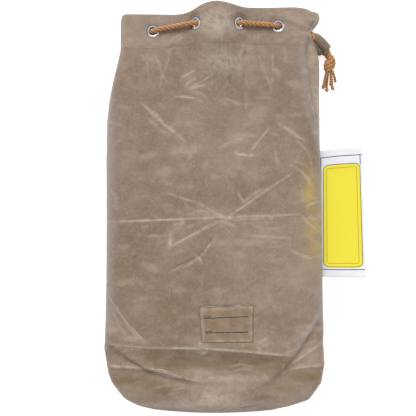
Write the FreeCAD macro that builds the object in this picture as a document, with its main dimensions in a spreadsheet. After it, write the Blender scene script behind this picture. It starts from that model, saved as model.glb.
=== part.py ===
import FreeCAD, Part
import Sketcher
import math
import os

# A canvas mail sack with a drawstring mouth, empty, lying on its back on the floor.
# Millimetres. +X is to the sack's right, +Y towards the mouth, +Z up from the floor.
# The origin is on the floor, under the middle of the sack.

V = FreeCAD.Vector
UP = V(0, 0, 1)

DRIVING_SIZES = {
    # the cloth bag
    "sack_length": 907.0,        # bottom fold to the crest of the mouth
    "sack_width": 480.0,         # laid flat
    "sack_puff": 44.0,           # height of the empty bag on the floor
    "cloth": 1.2,                # canvas thickness
    "ply_gap": 0.1,              # air between two plies that lie together
    "seam_rise": 8.0,            # side seams above the underside
    # the mouth
    "mouth_width": 424.0,
    "mouth_lift": 14.0,          # the rope under the back holds it this far off the floor
    "mouth_top": 48.0,           # outer face of the front at the mouth
    "neck_depth": 153.5,         # crest of the mouth down to where the front bends
    "taper_depth": 253.5,        # crest down to where the bag starts to narrow
    "hem_depth": 77.0,
    "rim_drop": 17.5,            # front rim below its crest
    "back_rim_drop": 38.5,
    "ridge_slope": 40.0,         # degrees, sides of the ridge in the front hem
    "ridge_seat_ease": 3.3,      # each straight side is this much wider than its eyelet, along the slope
    "ridge_foot": 9.5,           # width of the hollow at each foot
    "ridge_crown": 71.0,         # width of the rounded top
    "ridge_middle": 4.0,         # the crest's place along X
    "fit": 0.3,                  # clearance between pieces that move apart
    "pinch_inset": 6.0,          # the drawstring's way out, from the mouth's side
    "pinch_drop": 69.5,          # and below the crest
    "pinch_rise": 15.8,          # and above the back's underside
    # eyelets
    "eyelet_hole": 17.0,
    "eyelet_flange": 28.0,
    "eyelet_wall": 1.0,
    "eyelet_plate": 1.2,
    "eyelet_lip": 2.2,           # roundness where the rope runs over
    "eyelet_curl": 0.5,
    "eyelet_curl_reach": 1.7,    # how far the rolled end turns out under the washer
    "eyelet_curl_lip": 1.7,      # roundness of the rolled end
    "washer_outer": 27.0,
    "washer_ease": 0.2,          # washer round the eyelet's barrel
    "washer_plate": 0.95,
    "eyelet_gap": 0.05,
    "eyelet_1_drop": 68.5,       # eyelet rows below the crest of the mouth
    "eyelet_4_drop": 57.5,
    "ridge_eyelet_drop": 52.5,
    "back_eyelet_drop": 57.5,
    "front_eyelet_inset": 75.0,  # eyelets 1 and 4 from the mouth's sides
    "back_first_inset": 34.0,    # eyelet 10 from the mouth's left side
    "back_last_inset": 70.0,     # eyelet 6 from its right side
    # rope
    "rope": 11.5,
    "strand": 4.4,
    "knot_length": 30.0,
    "knot_girth": 28.0,
    "knot_neck": 25.0,
    "knot_tail": 20.0,
    "pull_travel": 35.0,
    # pleat round the rope's way out
    "pleat_length": 44.0,
    "pleat_tip": 18.4,
    "pleat_root_ease": 6.4,      # the pleat's root over the eyelet's flange
    # base
    "base_diameter": 307.0,
    "base_offset": 213.5,        # bottom fold to the middle of the base
    "welt_height": 8.0,
    "thread": 0.8,
    "thread_rise": 0.4,
    "hem_thread_inset": 20.0,    # ends of the hem stitching from the mouth's sides
    # name patch
    "patch_width": 116.0,
    "patch_height": 82.0,
    "patch_x": 25.0,
    "patch_up": 198.0,           # bottom fold to the patch's middle
    "patch_ply": 1.0,
    "patch_margin": 4.0,
    # side tag
    "tag_height": 284.0,
    "tag_reach": 94.0,           # side of the sack to the tag's free edge
    "tag_ply": 0.9,
    "tag_up": 442.5,             # bottom fold to the tag's middle
    "tag_bend": 6.0,             # side of the sack to the tag's bend line
    "tag_lift": 0.3,             # under the tag
    "tag_corner": 5.0,
    "tag_margin": 4.0,
}

doc = FreeCAD.newDocument("mail_sack")
sheet = doc.addObject("Spreadsheet::Sheet", "sizes")
for row, (alias, value) in enumerate(DRIVING_SIZES.items(), start=1):
    sheet.set("A%d" % row, alias)
    sheet.set("B%d" % row, str(value))
    sheet.setAlias("B%d" % row, alias)
doc.recompute()

nodes = []


def size(name):
    return float(sheet.get(name))


def bind(obj, **expressions):
    """Bind an object's properties to the sheet; bare aliases are looked up in it."""
    for prop, expression in expressions.items():
        obj.setExpression(prop, in_sheet(expression))


def in_sheet(expression):
    words = []
    word = ""
    for letter in expression + " ":
        if letter.isalnum() or letter == "_":
            word += letter
            continue
        words.append("sizes." + word if word in DRIVING_SIZES else word)
        words.append(letter)
        word = ""
    return "".join(words).strip()


def node(obj, label):
    obj.Label = label
    nodes.append(obj)
    return obj


def made(label, shape):
    """A sub-part whose shape is worked out from the sheet here."""
    return node(set_shape(label, shape), label)


def set_shape(name, shape):
    feature = doc.addObject("Part::Feature", name)
    feature.Shape = shape
    return feature


# ---- places that several pieces share ---------------------------------------------------

TOP = size("sack_length") / 2
BOTTOM = -TOP
BEND_Y = TOP - size("neck_depth")
TAPER_Y = TOP - size("taper_depth")
RIM_Y = TOP - size("rim_drop")
BACK_RIM_Y = TOP - size("back_rim_drop")
CLOTH = size("cloth")
HEM_PLY = CLOTH + size("ply_gap")
HEM_STACK = 2 * CLOTH + size("ply_gap")
HALF_MOUTH = size("mouth_width") / 2
MOUTH_LOW = size("mouth_lift")
MOUTH_HIGH = size("mouth_top")
MOUTH_ROLL = (MOUTH_HIGH - MOUTH_LOW) / 2
FIT = size("fit")
ROPE = size("rope")
PLEAT_ROOT = size("eyelet_flange") + size("pleat_root_ease")
RIDGE_SLOPE = math.radians(size("ridge_slope"))
RIDGE_SEAT = (size("eyelet_flange") + size("ridge_seat_ease")) * math.cos(RIDGE_SLOPE)
BASE_Y = BOTTOM + size("base_offset")
BASE_R = size("base_diameter") / 2
SEAM_BREAK = (MOUTH_HIGH + MOUTH_LOW) / 2

PULL = V(21, -20, 0) / 29       # the way the drawstring pulls out, level, beside the sack
PINCH = V(HALF_MOUTH - size("pinch_inset"), TOP - size("pinch_drop"), MOUTH_LOW + size("pinch_rise"))

BACK_EYELETS = (10, 9, 8, 7, 6)  # from left to right
FRONT_EYELETS = (1, 2, 3, 4)


def back_eyelet_place(step):
    left = -HALF_MOUTH + size("back_first_inset")
    right = HALF_MOUTH - size("back_last_inset")
    x = left + (right - left) * step / (len(BACK_EYELETS) - 1)
    return V(x, TOP - size("back_eyelet_drop"), MOUTH_LOW)


EYELETS = {number: back_eyelet_place(step) for step, number in enumerate(BACK_EYELETS)}
EYELETS[1] = V(-HALF_MOUTH + size("front_eyelet_inset"), TOP - size("eyelet_1_drop"), MOUTH_HIGH)
EYELETS[4] = V(HALF_MOUTH - size("front_eyelet_inset"), TOP - size("eyelet_4_drop"), MOUTH_HIGH)


# ---- sections ---------------------------------------------------------------------------

def arc(a, b, c):
    return Part.Arc(a, b, c).toShape()


def line(a, b):
    return Part.makeLine(a, b)


def stadium(y, half, low, high):
    """A flat-lying tube's section: level top and underside, round sides."""
    r = (high - low) / 2
    mid = (high + low) / 2
    left, right = -half + r, half - r
    return Part.Wire([
        line(V(left, y, high), V(right, y, high)),
        arc(V(right, y, high), V(half, y, mid), V(right, y, low)),
        line(V(right, y, low), V(left, y, low)),
        arc(V(left, y, low), V(-half, y, mid), V(left, y, high)),
    ])


# The rounded bottom: distance up from the bottom fold, half width lost, underside's rise (share of the puff).
BOTTOM_CURVE = [(0, 130, 0.45), (6, 90, 0.23), (18, 62, 0.09), (33, 42, 0.023), (53, 28, 0), (87, 4, 0)]
STRAIGHT_END = TAPER_Y - 80      # the sides are straight up to here
SHOULDER_Y = TAPER_Y + 34        # and bend in here,
SHOULDER_INSET = 9               # by this much,
SHOULDER_SHARE = 0.3             # with this share of the rise to the mouth
NECK_EASE = 2                    # half width that the bag still loses above the bend,
NECK_RUN = 30                    # over this length


def bag_stations():
    """Stations up the bag: place along Y, half width, underside, top."""
    half = size("sack_width") / 2
    puff = size("sack_puff")
    stations = [(BOTTOM + up, half - inset, rise * puff, (1 - rise) * puff) for up, inset, rise in BOTTOM_CURVE]
    stations.append((STRAIGHT_END, half, 0, puff))
    shoulder_top = puff + (MOUTH_HIGH - puff) * SHOULDER_SHARE
    stations.append((SHOULDER_Y, half - SHOULDER_INSET, MOUTH_LOW * SHOULDER_SHARE, shoulder_top))
    stations.append((BEND_Y, HALF_MOUTH + NECK_EASE, MOUTH_LOW, MOUTH_HIGH))
    stations.append((BEND_Y + NECK_RUN, HALF_MOUTH, MOUTH_LOW, MOUTH_HIGH))
    stations.append((BACK_RIM_Y, HALF_MOUTH, MOUTH_LOW, MOUTH_HIGH))
    return stations


PAST = 12                        # cutting tools run this far past what they cut
FACET_INSETS = (90, 55, 28)      # the front's three lowest stretches are cut into facets this far from the sides


def bag_shell():
    """The whole bag's cloth as one skin, open at the mouth."""
    stations = bag_stations()
    outer = Part.makeLoft([stadium(*station) for station in stations], True, True)
    inside = []
    for y, half, low, high in stations:
        inside.append((y + CLOTH, half - CLOTH, low + CLOTH, high - CLOTH))
    y, half, low, high = inside[-1]
    inside[-1] = (y + PAST, half, low, high)
    return outer.cut(Part.makeLoft([stadium(*station) for station in inside], True, True))


def seam_side(front):
    """The space in front of the side seams, or behind them."""
    rise = size("seam_rise")
    reach = size("sack_width")
    shift = FIT if front else 0
    mouth_end = BEND_Y if front else TOP
    edge = [(BOTTOM - PAST, rise + shift), (TAPER_Y, rise + shift), (BEND_Y, MOUTH_LOW + rise + shift)]
    if not front:
        edge += [(BEND_Y, SEAM_BREAK - FIT), (mouth_end, SEAM_BREAK - FIT)]
    far = 2 * MOUTH_HIGH if front else -PAST
    outline = edge + [(edge[-1][0], far), (edge[0][0], far)]
    corners = [V(-reach, y, z) for y, z in outline]
    face = Part.Face(Part.makePolygon(corners + corners[:1]))
    return face.extrude(V(2 * reach, 0, 0))


PLEAT_BACK = 6                   # room behind the pleat's root for its eyelet and washer


def across(shape, start, end):
    """The stretch of a shape between two places along Y."""
    reach = size("sack_width")
    return shape.common(Part.makeBox(2 * reach, end - start, 2 * reach, V(-reach, start, -reach)))


def facets(shape, xs, ys, zs):
    """One cloth as a group of simple facets, parted at these places along X, Y and Z."""
    far = 2 * TOP
    cells = []
    for x0, x1 in zip([-far] + xs, xs + [far]):
        for y0, y1 in zip([-far] + ys, ys + [far]):
            for z0, z1 in zip([-far] + zs, zs + [far]):
                cell = Part.makeBox(x1 - x0, y1 - y0, z1 - z0, V(x0, y0, z0))
                cells += shape.common(cell).Solids
    return Part.makeCompound(cells)


def pull_cylinder(radius, start, end):
    """A round bar along the drawstring's way out, from the pinch."""
    return Part.makeCylinder(radius, end - start, PINCH + PULL * start, PULL)


def front_panel():
    shell = bag_shell().common(seam_side(True))
    half = size("sack_width") / 2
    foot_end, corner_end = BOTTOM + BOTTOM_CURVE[-2][0], BOTTOM + BOTTOM_CURVE[-1][0]
    places = [BOTTOM - PAST, foot_end, corner_end, TAPER_Y, TOP]
    edges = [half - inset for inset in FACET_INSETS] + [HALF_MOUTH - MOUTH_ROLL]
    cloth = []
    for start, end, edge in zip(places, places[1:], edges):
        cloth += facets(across(shell, start, end), [-edge, edge], [], [size("sack_puff") / 2]).Solids
    made("front_panel", Part.makeCompound(cloth))


def back_panel():
    base_hole = Part.makeCylinder(BASE_R + FIT, 3 * CLOTH, V(0, BASE_Y, -CLOTH))
    edge = HALF_MOUTH - MOUTH_ROLL
    foot_end = BOTTOM + BOTTOM_CURVE[-2][0]
    flat = (V(-edge, foot_end, 0), 2 * edge, STRAIGHT_END - foot_end)
    plate = Part.makeBox(flat[1], flat[2], CLOTH, flat[0])
    shell = bag_shell().common(seam_side(False))
    shell = shell.cut(Part.makeBox(flat[1], flat[2], 3 * CLOTH, flat[0] - UP * CLOTH))
    shell = shell.cut(pull_cylinder(PLEAT_ROOT / 2 + FIT, -PLEAT_BACK, size("pleat_length") + PAST))
    for number in BACK_EYELETS:
        shell = shell.cut(eyelet_bore(EYELETS[number], -UP))
    rest = facets(shell, [-edge, edge], [foot_end, STRAIGHT_END, BEND_Y], [])
    made("back_panel", Part.makeCompound([plate.cut(base_hole)] + rest.Solids))


# ---- the front of the mouth: a hem with a ridge between eyelets 2 and 3 -----------------

def ridge_joints():
    """Where the ridge's foot, straight sides and crown meet, along X."""
    half_crown = size("ridge_crown") / 2
    seat = RIDGE_SEAT
    foot = size("ridge_foot")
    middle = size("ridge_middle")
    steps = [half_crown + seat + foot, half_crown + seat, half_crown]
    return [middle - step for step in steps] + [middle + step for step in reversed(steps)]


def ridge_heights(slope):
    """Height of the side's lower end, its upper end and the crest above the hem."""
    tangent = math.tan(slope)
    half = math.tan(slope / 2)
    low = size("ridge_foot") * half
    high = low + RIDGE_SEAT * tangent
    return low, high, high + size("ridge_crown") / 2 * half


def hem_line(y, slope, depth, left_end, right_end, rolls):
    """The hem's section, depth below its outer face, from left to right, as edges."""
    x0, x1, x2, x3, x4, x5 = ridge_joints()
    low, high, crest = ridge_heights(slope)
    top = MOUTH_HIGH

    def at(x, height, tilt):
        return V(x + depth * math.sin(tilt), y, top + height - depth * math.cos(tilt))

    foot_x = size("ridge_foot") * math.sin(slope / 2) / math.sin(slope)
    foot_z = size("ridge_foot") / math.sin(slope) * (1 - math.cos(slope / 2))
    flat_left = V(left_end, y, top - depth)
    flat_right = V(right_end, y, top - depth)
    edges = []
    if rolls:
        bend = MOUTH_ROLL - depth
        side_z = top - MOUTH_ROLL
        lean = bend / math.sqrt(2)
        flat_left = V(-HALF_MOUTH + MOUTH_ROLL, y, top - depth)
        flat_right = V(HALF_MOUTH - MOUTH_ROLL, y, top - depth)
        edges.append(arc(V(flat_left.x - bend, y, side_z), V(flat_left.x - lean, y, side_z + lean), flat_left))
    edges.append(line(flat_left, at(x0, 0, 0)))
    edges.append(arc(at(x0, 0, 0), at(x0 + foot_x, foot_z, slope / 2), at(x1, low, slope)))
    edges.append(line(at(x1, low, slope), at(x2, high, slope)))
    edges.append(arc(at(x2, high, slope), at((x2 + x3) / 2, crest, 0), at(x3, high, -slope)))
    edges.append(line(at(x3, high, -slope), at(x4, low, -slope)))
    edges.append(arc(at(x4, low, -slope), at(x5 - foot_x, foot_z, -slope / 2), at(x5, 0, 0)))
    edges.append(line(at(x5, 0, 0), flat_right))
    if rolls:
        edges.append(arc(flat_right, V(flat_right.x + lean, y, side_z + lean), V(flat_right.x + bend, y, side_z)))
    return edges


def hem_section(y, slope, outer, inner, left_end=0, right_end=0, rolls=False):
    top_edges = hem_line(y, slope, outer, left_end, right_end, rolls)
    low_edges = hem_line(y, slope, inner, left_end, right_end, rolls)
    first, last = top_edges[0].Vertexes[0].Point, top_edges[-1].Vertexes[-1].Point
    low_first, low_last = low_edges[0].Vertexes[0].Point, low_edges[-1].Vertexes[-1].Point
    closing = [line(last, low_last), line(low_first, first)]
    return Part.Wire(Part.__sortEdges__(top_edges + low_edges + closing))


LEFT_RIM_Y = RIM_Y - 15          # the rim lies lower on its left
RIM_CORNER = 14                  # radius in plan
# The hump in the rim: place from the ridge's middle, rim it is measured from, height above that.
RIM_HUMP = [(-86, LEFT_RIM_Y, 0), (-60, LEFT_RIM_Y, 8), (-34, RIM_Y, 11), (0, TOP, 0),
            (33, RIM_Y, 11), (60, RIM_Y, 4), (98, RIM_Y, 0)]


def rim_outline():
    """Plan of the front of the mouth, from its bend to the rim and its rounded corners."""
    side = HALF_MOUTH + 1        # just past the rolled side, so that the cut leaves it whole
    left_rim = LEFT_RIM_Y
    middle = size("ridge_middle")
    corner = RIM_CORNER
    crest = Part.BSplineCurve()
    crest.interpolate([V(middle + x, rim + above, 0) for x, rim, above in RIM_HUMP])
    start = V(-side, BEND_Y, 0)
    end = V(side, BEND_Y, 0)
    dip = corner * (1 - math.sqrt(0.5))
    left_low, left_high = V(-side, left_rim - corner, 0), V(-side + corner, left_rim, 0)
    right_high, right_low = V(side - corner, RIM_Y, 0), V(side, RIM_Y - corner, 0)
    edges = [
        line(start, left_low),
        arc(left_low, V(-side + dip, left_rim - dip, 0), left_high),
        line(left_high, V(middle + RIM_HUMP[0][0], left_rim, 0)),
        crest.toShape(),
        line(V(middle + RIM_HUMP[-1][0], RIM_Y, 0), right_high),
        arc(right_high, V(side - dip, RIM_Y - dip, 0), right_low),
        line(right_low, end),
        line(end, start),
    ]
    return Part.Face(Part.Wire(edges))


FLAT_SLOPE = math.radians(2)
BEND_GAP = 0.5                   # between the front panel and the part of it that lifts
RIDGE_FADE = 58                  # the ridge rises over this much of the cloth above the bend
LOFT_PAST = 5                    # lofts of the hem run this far past the crest before they are trimmed


def ridge_eyelet(side):
    """Seat centre and outward direction of eyelet 2 (side -1) or eyelet 3 (side +1)."""
    low, high = ridge_heights(RIDGE_SLOPE)[:2]
    reach = size("ridge_crown") / 2 + RIDGE_SEAT / 2
    place = V(size("ridge_middle") + side * reach, TOP - size("ridge_eyelet_drop"), MOUTH_HIGH + (low + high) / 2)
    return place, V(side * math.sin(RIDGE_SLOPE), 0, math.cos(RIDGE_SLOPE))


def eyelet_seats():
    """Every eyelet's place on the cloth's outer face and its outward direction."""
    seats = {number: (place, -UP if number in BACK_EYELETS else UP) for number, place in EYELETS.items()}
    seats[2] = ridge_eyelet(-1)
    seats[3] = ridge_eyelet(1)
    seats[5] = (PINCH, PULL)
    return seats


def eyelet_bore(place, outward):
    radius = size("eyelet_hole") / 2 + size("eyelet_wall") + FIT
    return Part.makeCylinder(radius, 4 * HEM_STACK, place + outward * 1.5 * HEM_STACK, -outward)


def hem_layer(outer, inner, start, shrink, left_end=0, right_end=0, rolls=False):
    """One ply of the front of the mouth between two depths, cut to the rim's outline."""
    fade_end = BEND_Y + FIT + RIDGE_FADE
    stations = [(fade_end, RIDGE_SLOPE), (TOP + LOFT_PAST, RIDGE_SLOPE)]
    if start < fade_end - LOFT_PAST:
        stations = [(start, FLAT_SLOPE)] + stations
    else:
        stations[0] = (start, RIDGE_SLOPE)
    wires = [hem_section(y, slope, outer, inner, left_end, right_end, rolls) for y, slope in stations]
    ply = Part.makeLoft(wires, True, True)
    outline = rim_outline()
    outline.translate(V(0, -shrink, 0))
    ply = ply.common(outline.extrude(V(0, 0, 3 * MOUTH_HIGH)))
    for number in FRONT_EYELETS:
        ply = ply.cut(eyelet_bore(*eyelet_seats()[number]))
    return ply.cut(pull_cylinder(PLEAT_ROOT / 2 + 4 * FIT, -PLEAT_BACK, size("pleat_length") + 2 * PAST))


def mouth_collar_front():
    plate = hem_layer(0, CLOTH, BEND_Y + BEND_GAP, 0, rolls=True)
    edge = HALF_MOUTH - MOUTH_ROLL
    left_foot, _, left_crown, right_crown, _, right_foot = ridge_joints()
    cuts = [-edge, left_foot, left_crown, right_crown, right_foot, edge]
    made("mouth_collar_front", facets(plate, cuts, [BEND_Y + FIT + RIDGE_FADE], []))


FACING_INSET = 2                 # the folded-in ply of the front hem ends this far short of the rim,
FACING_SHORT = 20                # and this far short of the pinch
BACK_FACING_INSET = 1            # the same at the back rim
STITCH_RISE = 3                  # stitching above the folded-in ply's edge


def mouth_facing_front():
    start = RIM_Y - size("hem_depth")
    inner = HALF_MOUTH - MOUTH_ROLL
    made("mouth_facing_front", hem_layer(HEM_PLY, HEM_STACK, start, FACING_INSET, -inner, inner - FACING_SHORT))


def hem_thread_front():
    """The stitch line that holds the hem down, proud of the cloth."""
    y = RIM_Y - size("hem_depth") + STITCH_RISE
    rise = size("thread_rise")
    inner = HALF_MOUTH - MOUTH_ROLL
    ends = [hem_section(place, RIDGE_SLOPE, -rise, -size("eyelet_gap"), -inner, inner)
            for place in (y, y + size("thread"))]
    made("hem_thread_front", Part.makeLoft(ends, True, True))


def mouth_facing_back():
    edge = HALF_MOUTH - MOUTH_ROLL
    width = 2 * edge - FACING_SHORT
    depth = size("hem_depth")
    low_corner = V(-edge, BACK_RIM_Y - BACK_FACING_INSET - depth, MOUTH_LOW + HEM_PLY)
    ply = Part.makeBox(width, depth, CLOTH, low_corner)
    for number in BACK_EYELETS:
        ply = ply.cut(eyelet_bore(EYELETS[number], -UP))
    made("mouth_facing_back", ply)


def hem_thread_back():
    bar = node(doc.addObject("Part::Box", "hem_thread_back"), "hem_thread_back")
    bind(bar, Length="mouth_width - 2 * hem_thread_inset", Width="thread", Height="thread_rise - eyelet_gap")
    left = -HALF_MOUTH + size("hem_thread_inset")
    y = BACK_RIM_Y - BACK_FACING_INSET - size("hem_depth") + STITCH_RISE
    bar.Placement.Base = V(left, y, MOUTH_LOW - size("thread_rise"))


# ---- eyelets and their washers ----------------------------------------------------------

def origin_plane(body, role):
    for feature in body.Origin.OriginFeatures:
        if feature.Role == role:
            return feature
    raise ValueError("no plane " + role)


def outline_sketch(body, name, plane, corners):
    """A closed outline whose corners are sheet expressions, on one of the body's planes."""
    sketch = body.newObject("Sketcher::SketchObject", name)
    sketch.AttachmentSupport = [(origin_plane(body, plane), "")]
    sketch.MapMode = "FlatFace"
    places = [V(value_of(x), value_of(y), 0) for x, y in corners]
    count = len(places)
    for index in range(count):
        segment = Part.LineSegment(places[index], places[(index + 1) % count])
        sketch.addGeometry(segment, False)
    for index in range(count):
        sketch.addConstraint(Sketcher.Constraint("Coincident", index, 2, (index + 1) % count, 1))
    for index, (x, y) in enumerate(corners):
        for kind, expression in (("DistanceX", x), ("DistanceY", y)):
            number = sketch.addConstraint(Sketcher.Constraint(kind, index, 1, value_of(expression)))
            sketch.setExpression("Constraints[%d]" % number, in_sheet(expression))
    return sketch


def value_of(expression):
    return float(sheet.evalExpression(in_sheet(expression).replace("sizes.", "")))


def revolved(label, corners):
    """A turned piece: its half section in the XZ plane, turned about Z."""
    body = doc.addObject("PartDesign::Body", label)
    sketch = outline_sketch(body, label + "_section", "XZ_Plane", corners)
    turned = body.newObject("PartDesign::Revolution", label + "_turned")
    turned.Profile = sketch
    turned.ReferenceAxis = (sketch, ["V_Axis"])
    turned.Angle = 360
    doc.recompute()
    return body, turned


def rounded(body, base, radius, picks):
    """Round the circular edges of a turned piece that lie at the given radius and height."""
    names = []
    for index, edge in enumerate(base.Shape.Edges, start=1):
        for r, z in picks:
            if hasattr(edge.Curve, "Radius") and abs(edge.Curve.Radius - r) < 1e-6:
                if abs(edge.BoundBox.ZMin - z) < 1e-6 and edge.BoundBox.ZLength < 1e-6:
                    names.append("Edge%d" % index)
    fillet = body.newObject("PartDesign::Fillet", body.Label + "_round")
    fillet.Base = (base, names)
    bind(fillet, Radius=radius)
    doc.recompute()
    return fillet


def face_out(body, place, outward):
    """Stand a turned piece on the cloth with its own +Z pointing outward."""
    body.Placement = FreeCAD.Placement(place, FreeCAD.Rotation(UP, outward))


def eyelet(number, place, outward):
    bottom = "-(2 * cloth + ply_gap + eyelet_gap + washer_plate + eyelet_gap)"
    hole = "eyelet_hole / 2"
    barrel = "eyelet_hole / 2 + eyelet_wall"
    curl = "eyelet_hole / 2 + eyelet_wall + eyelet_curl_reach"
    corners = [
        (hole, bottom + " - eyelet_curl"),
        (curl, bottom + " - eyelet_curl"),
        (curl, bottom),
        (barrel, bottom),
        (barrel, "eyelet_gap"),
        ("eyelet_flange / 2", "eyelet_gap"),
        ("eyelet_flange / 2", "eyelet_plate"),
        (hole, "eyelet_plate"),
    ]
    label = "eyelet_%d" % number
    body, turned = revolved(label, corners)
    low = value_of(bottom + " - eyelet_curl")
    inner = size("eyelet_hole") / 2
    lipped = rounded(body, turned, "eyelet_lip", [(inner, size("eyelet_plate"))])
    rounded(body, lipped, "eyelet_curl_lip", [(inner, low)])
    face_out(node(body, label), place, outward)


def eyelet_washer(number, place, outward):
    inner = "eyelet_hole / 2 + eyelet_wall + washer_ease"
    top = "-(2 * cloth + ply_gap + eyelet_gap)"
    corners = [
        (inner, top + " - washer_plate"),
        ("washer_outer / 2", top + " - washer_plate"),
        ("washer_outer / 2", top),
        (inner, top),
    ]
    label = "eyelet_washer_%d" % number
    body, turned = revolved(label, corners)
    face_out(node(body, label), place, outward)


def mouth_pleat():
    """Hem cloth gathered into a short tapering sleeve round the rope, with a two-ply root."""
    root = PLEAT_ROOT / 2
    tip = size("pleat_tip") / 2
    length = size("pleat_length")
    start = PINCH - PULL * HEM_STACK
    sleeve = Part.makeCone(root, tip, length, start, PULL)
    bore = Part.makeCone(root - CLOTH, tip - CLOTH, length, start, PULL)
    disc = pull_cylinder(root, -HEM_STACK, 0)
    bore = bore.cut(disc)
    hole = pull_cylinder(size("eyelet_hole") / 2 + size("eyelet_wall") + FIT, -PLEAT_BACK, PAST)
    made("mouth_pleat", sleeve.cut(bore).fuse(disc.common(sleeve)).cut(hole.common(disc)).removeSplitter())


# ---- the drawstring ---------------------------------------------------------------------

FRONT_RING = [(-160, 389.9, 32.3), (-141, 384, 37.5), (-133, 386, 56), (-52, 401, 65),
              (-33.5, 401, 56), (41.5, 401, 56), (60, 401, 65), (133, 396.5, 56),
              (141, 395.5, 37.5), (154, 411, 32), (171.3, 417.1, 29.8), (181, 407.8, 29.8)]

BACK_RING = [(191.7, 383.3, 6.05), (179, 395.4, 6.05), (146, 396, 6.05), (138, 396, 24.7),
             (66, 396, 24.7), (58, 396, 6.05), (-14, 396, 6.05), (-22, 396, 24.7),
             (-94, 396, 24.7), (-102, 396, 6.05), (-176.5, 396, 6.05), (-179, 396, 27),
             (-160.3, 390, 32.2)]

TAIL_1 = [(181.4, 407.5, 29.8), (243, 348.8, 29.8), (251.5, 337, 21.5), (252, 327, 20)]

TAIL_2 = [(192, 383, 6.05), (232, 344.9, 6.05), (247, 338, 7), (252, 327, 8.2)]

KNOT = V(252, 330, 14.2)        # middle of the knot's neck; the knot hangs from it along -Y

STRANDS = [
    [(246, 301, 14.2), (243, 287, 7), (239, 273, 3), (236, 260, 2.4)],
    [(249, 301, 9), (248, 286, 5), (246.5, 270, 3), (247.5, 254, 2.4)],
    [(255, 301, 9), (257, 287, 5), (259, 272, 3), (261.5, 259, 2.4)],
    [(258, 301, 14.2), (262, 292, 12), (265, 284, 8), (266, 276, 5)],
    [(255, 301, 19.4), (256, 289, 15), (255.5, 278, 10), (254.5, 268, 7.5)],
    [(249, 301, 19.4), (246, 288, 15), (242, 276, 9.5), (241, 264, 7.5)],
]


CORNER_SHARE = 0.45              # of the shorter run beside it, taken up by each corner's arc


def tube(points, diameter, label):
    """A round cord along straight runs joined by tangent arcs as large as the runs allow."""
    points = [V(*point) for point in points]
    edges = []
    radii = []
    start = points[0]
    for before, corner, after in zip(points, points[1:], points[2:]):
        inward = (before - corner).normalize()
        outward = (after - corner).normalize()
        turn = math.pi - inward.getAngle(outward)
        run = min((before - corner).Length, (after - corner).Length)
        reach = CORNER_SHARE * run
        radius = reach / math.tan(turn / 2)
        first = corner + inward * reach
        last = corner + outward * reach
        bisector = (inward + outward).normalize()
        middle = corner + bisector * (math.hypot(radius, reach) - radius)
        edges.append(line(start, first))
        edges.append(arc(first, middle, last))
        radii.append(radius)
        start = last
    edges.append(line(start, points[-1]))
    path = Part.Wire(edges)
    circle = Part.makeCircle(diameter / 2, points[0], points[1] - points[0])
    solid = path.makePipe(Part.Face(Part.Wire([circle])))
    if solid.ShapeType != "Solid":
        solid = solid.Solids[0]
    share = solid.Volume / (math.pi * diameter ** 2 / 4 * path.Length)
    print(label, "length %.1f" % path.Length, "volume share %.4f" % share,
          "radii", " ".join("%.1f" % radius for radius in radii))
    return solid


def drawstring():
    made("drawstring_front", tube(FRONT_RING, ROPE, "drawstring_front"))
    made("drawstring_back", tube(BACK_RING, ROPE, "drawstring_back"))
    made("drawstring_tail_1", tube(TAIL_1, ROPE, "drawstring_tail_1"))
    made("drawstring_tail_2", tube(TAIL_2, ROPE, "drawstring_tail_2"))


def drawstring_knot():
    corners = [
        ("0", "0"),
        ("knot_neck / 2", "0"),
        ("knot_girth / 2", "knot_length * 0.3"),
        ("knot_girth / 2", "knot_length * 0.7"),
        ("knot_tail / 2", "knot_length"),
        ("0", "knot_length"),
    ]
    body, turned = revolved("drawstring_knot", corners)
    face_out(node(body, "drawstring_knot"), KNOT, V(0, -1, 0))


def tassel():
    for number, points in enumerate(STRANDS, start=1):
        label = "tassel_strand_%d" % number
        made(label, tube(points, size("strand"), label))


# ---- base, seams, patch and tag ---------------------------------------------------------

def base_disc():
    disc = node(doc.addObject("Part::Cylinder", "base_disc"), "base_disc")
    bind(disc, Radius="base_diameter / 2", Height="cloth")
    disc.Placement.Base = V(0, BASE_Y, 0)


def base_seam_welt():
    corners = [
        ("base_diameter / 2 - 2 * cloth", "cloth + eyelet_gap"),
        ("base_diameter / 2 - cloth", "cloth + eyelet_gap"),
        ("base_diameter / 2 - cloth", "cloth + welt_height"),
        ("base_diameter / 2 - 2 * cloth", "cloth + welt_height"),
    ]
    body, turned = revolved("base_seam_welt", corners)
    node(body, "base_seam_welt").Placement.Base = V(0, BASE_Y, 0)


def base_seam_thread():
    outer = "base_diameter / 2 - 2 * cloth - 2 * eyelet_gap"
    corners = [
        (outer + " - thread_rise", "cloth + welt_height / 2"),
        (outer, "cloth + welt_height / 2"),
        (outer, "cloth + welt_height / 2 + thread"),
        (outer + " - thread_rise", "cloth + welt_height / 2 + thread"),
    ]
    body, turned = revolved("base_seam_thread", corners)
    node(body, "base_seam_thread").Placement.Base = V(0, BASE_Y, 0)


SIDE_STITCH_RISE = 2             # side stitching above the seam


def side_seam_thread():
    """One line of thread down each side, along the lower edge of the front panel."""
    roll = size("sack_puff") / 2
    drop = roll - size("seam_rise") - SIDE_STITCH_RISE
    lean = math.asin(drop / roll)
    start = BOTTOM + BOTTOM_CURVE[-1][0]
    length = STRAIGHT_END - start
    bars = []
    for side in (-1, 1):
        bar = Part.makeBox(size("thread_rise"), length, size("thread"))
        bar.translate(V(roll + size("eyelet_gap"), start, -size("thread") / 2))
        bar.rotate(V(0, 0, 0), V(0, 1, 0), math.degrees(lean))
        if side < 0:
            bar = bar.mirror(V(0, 0, 0), V(1, 0, 0))
        bar.translate(V(side * (size("sack_width") / 2 - roll), 0, roll))
        bars.append(bar)
    made("side_seam_thread", Part.makeCompound(bars))


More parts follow.
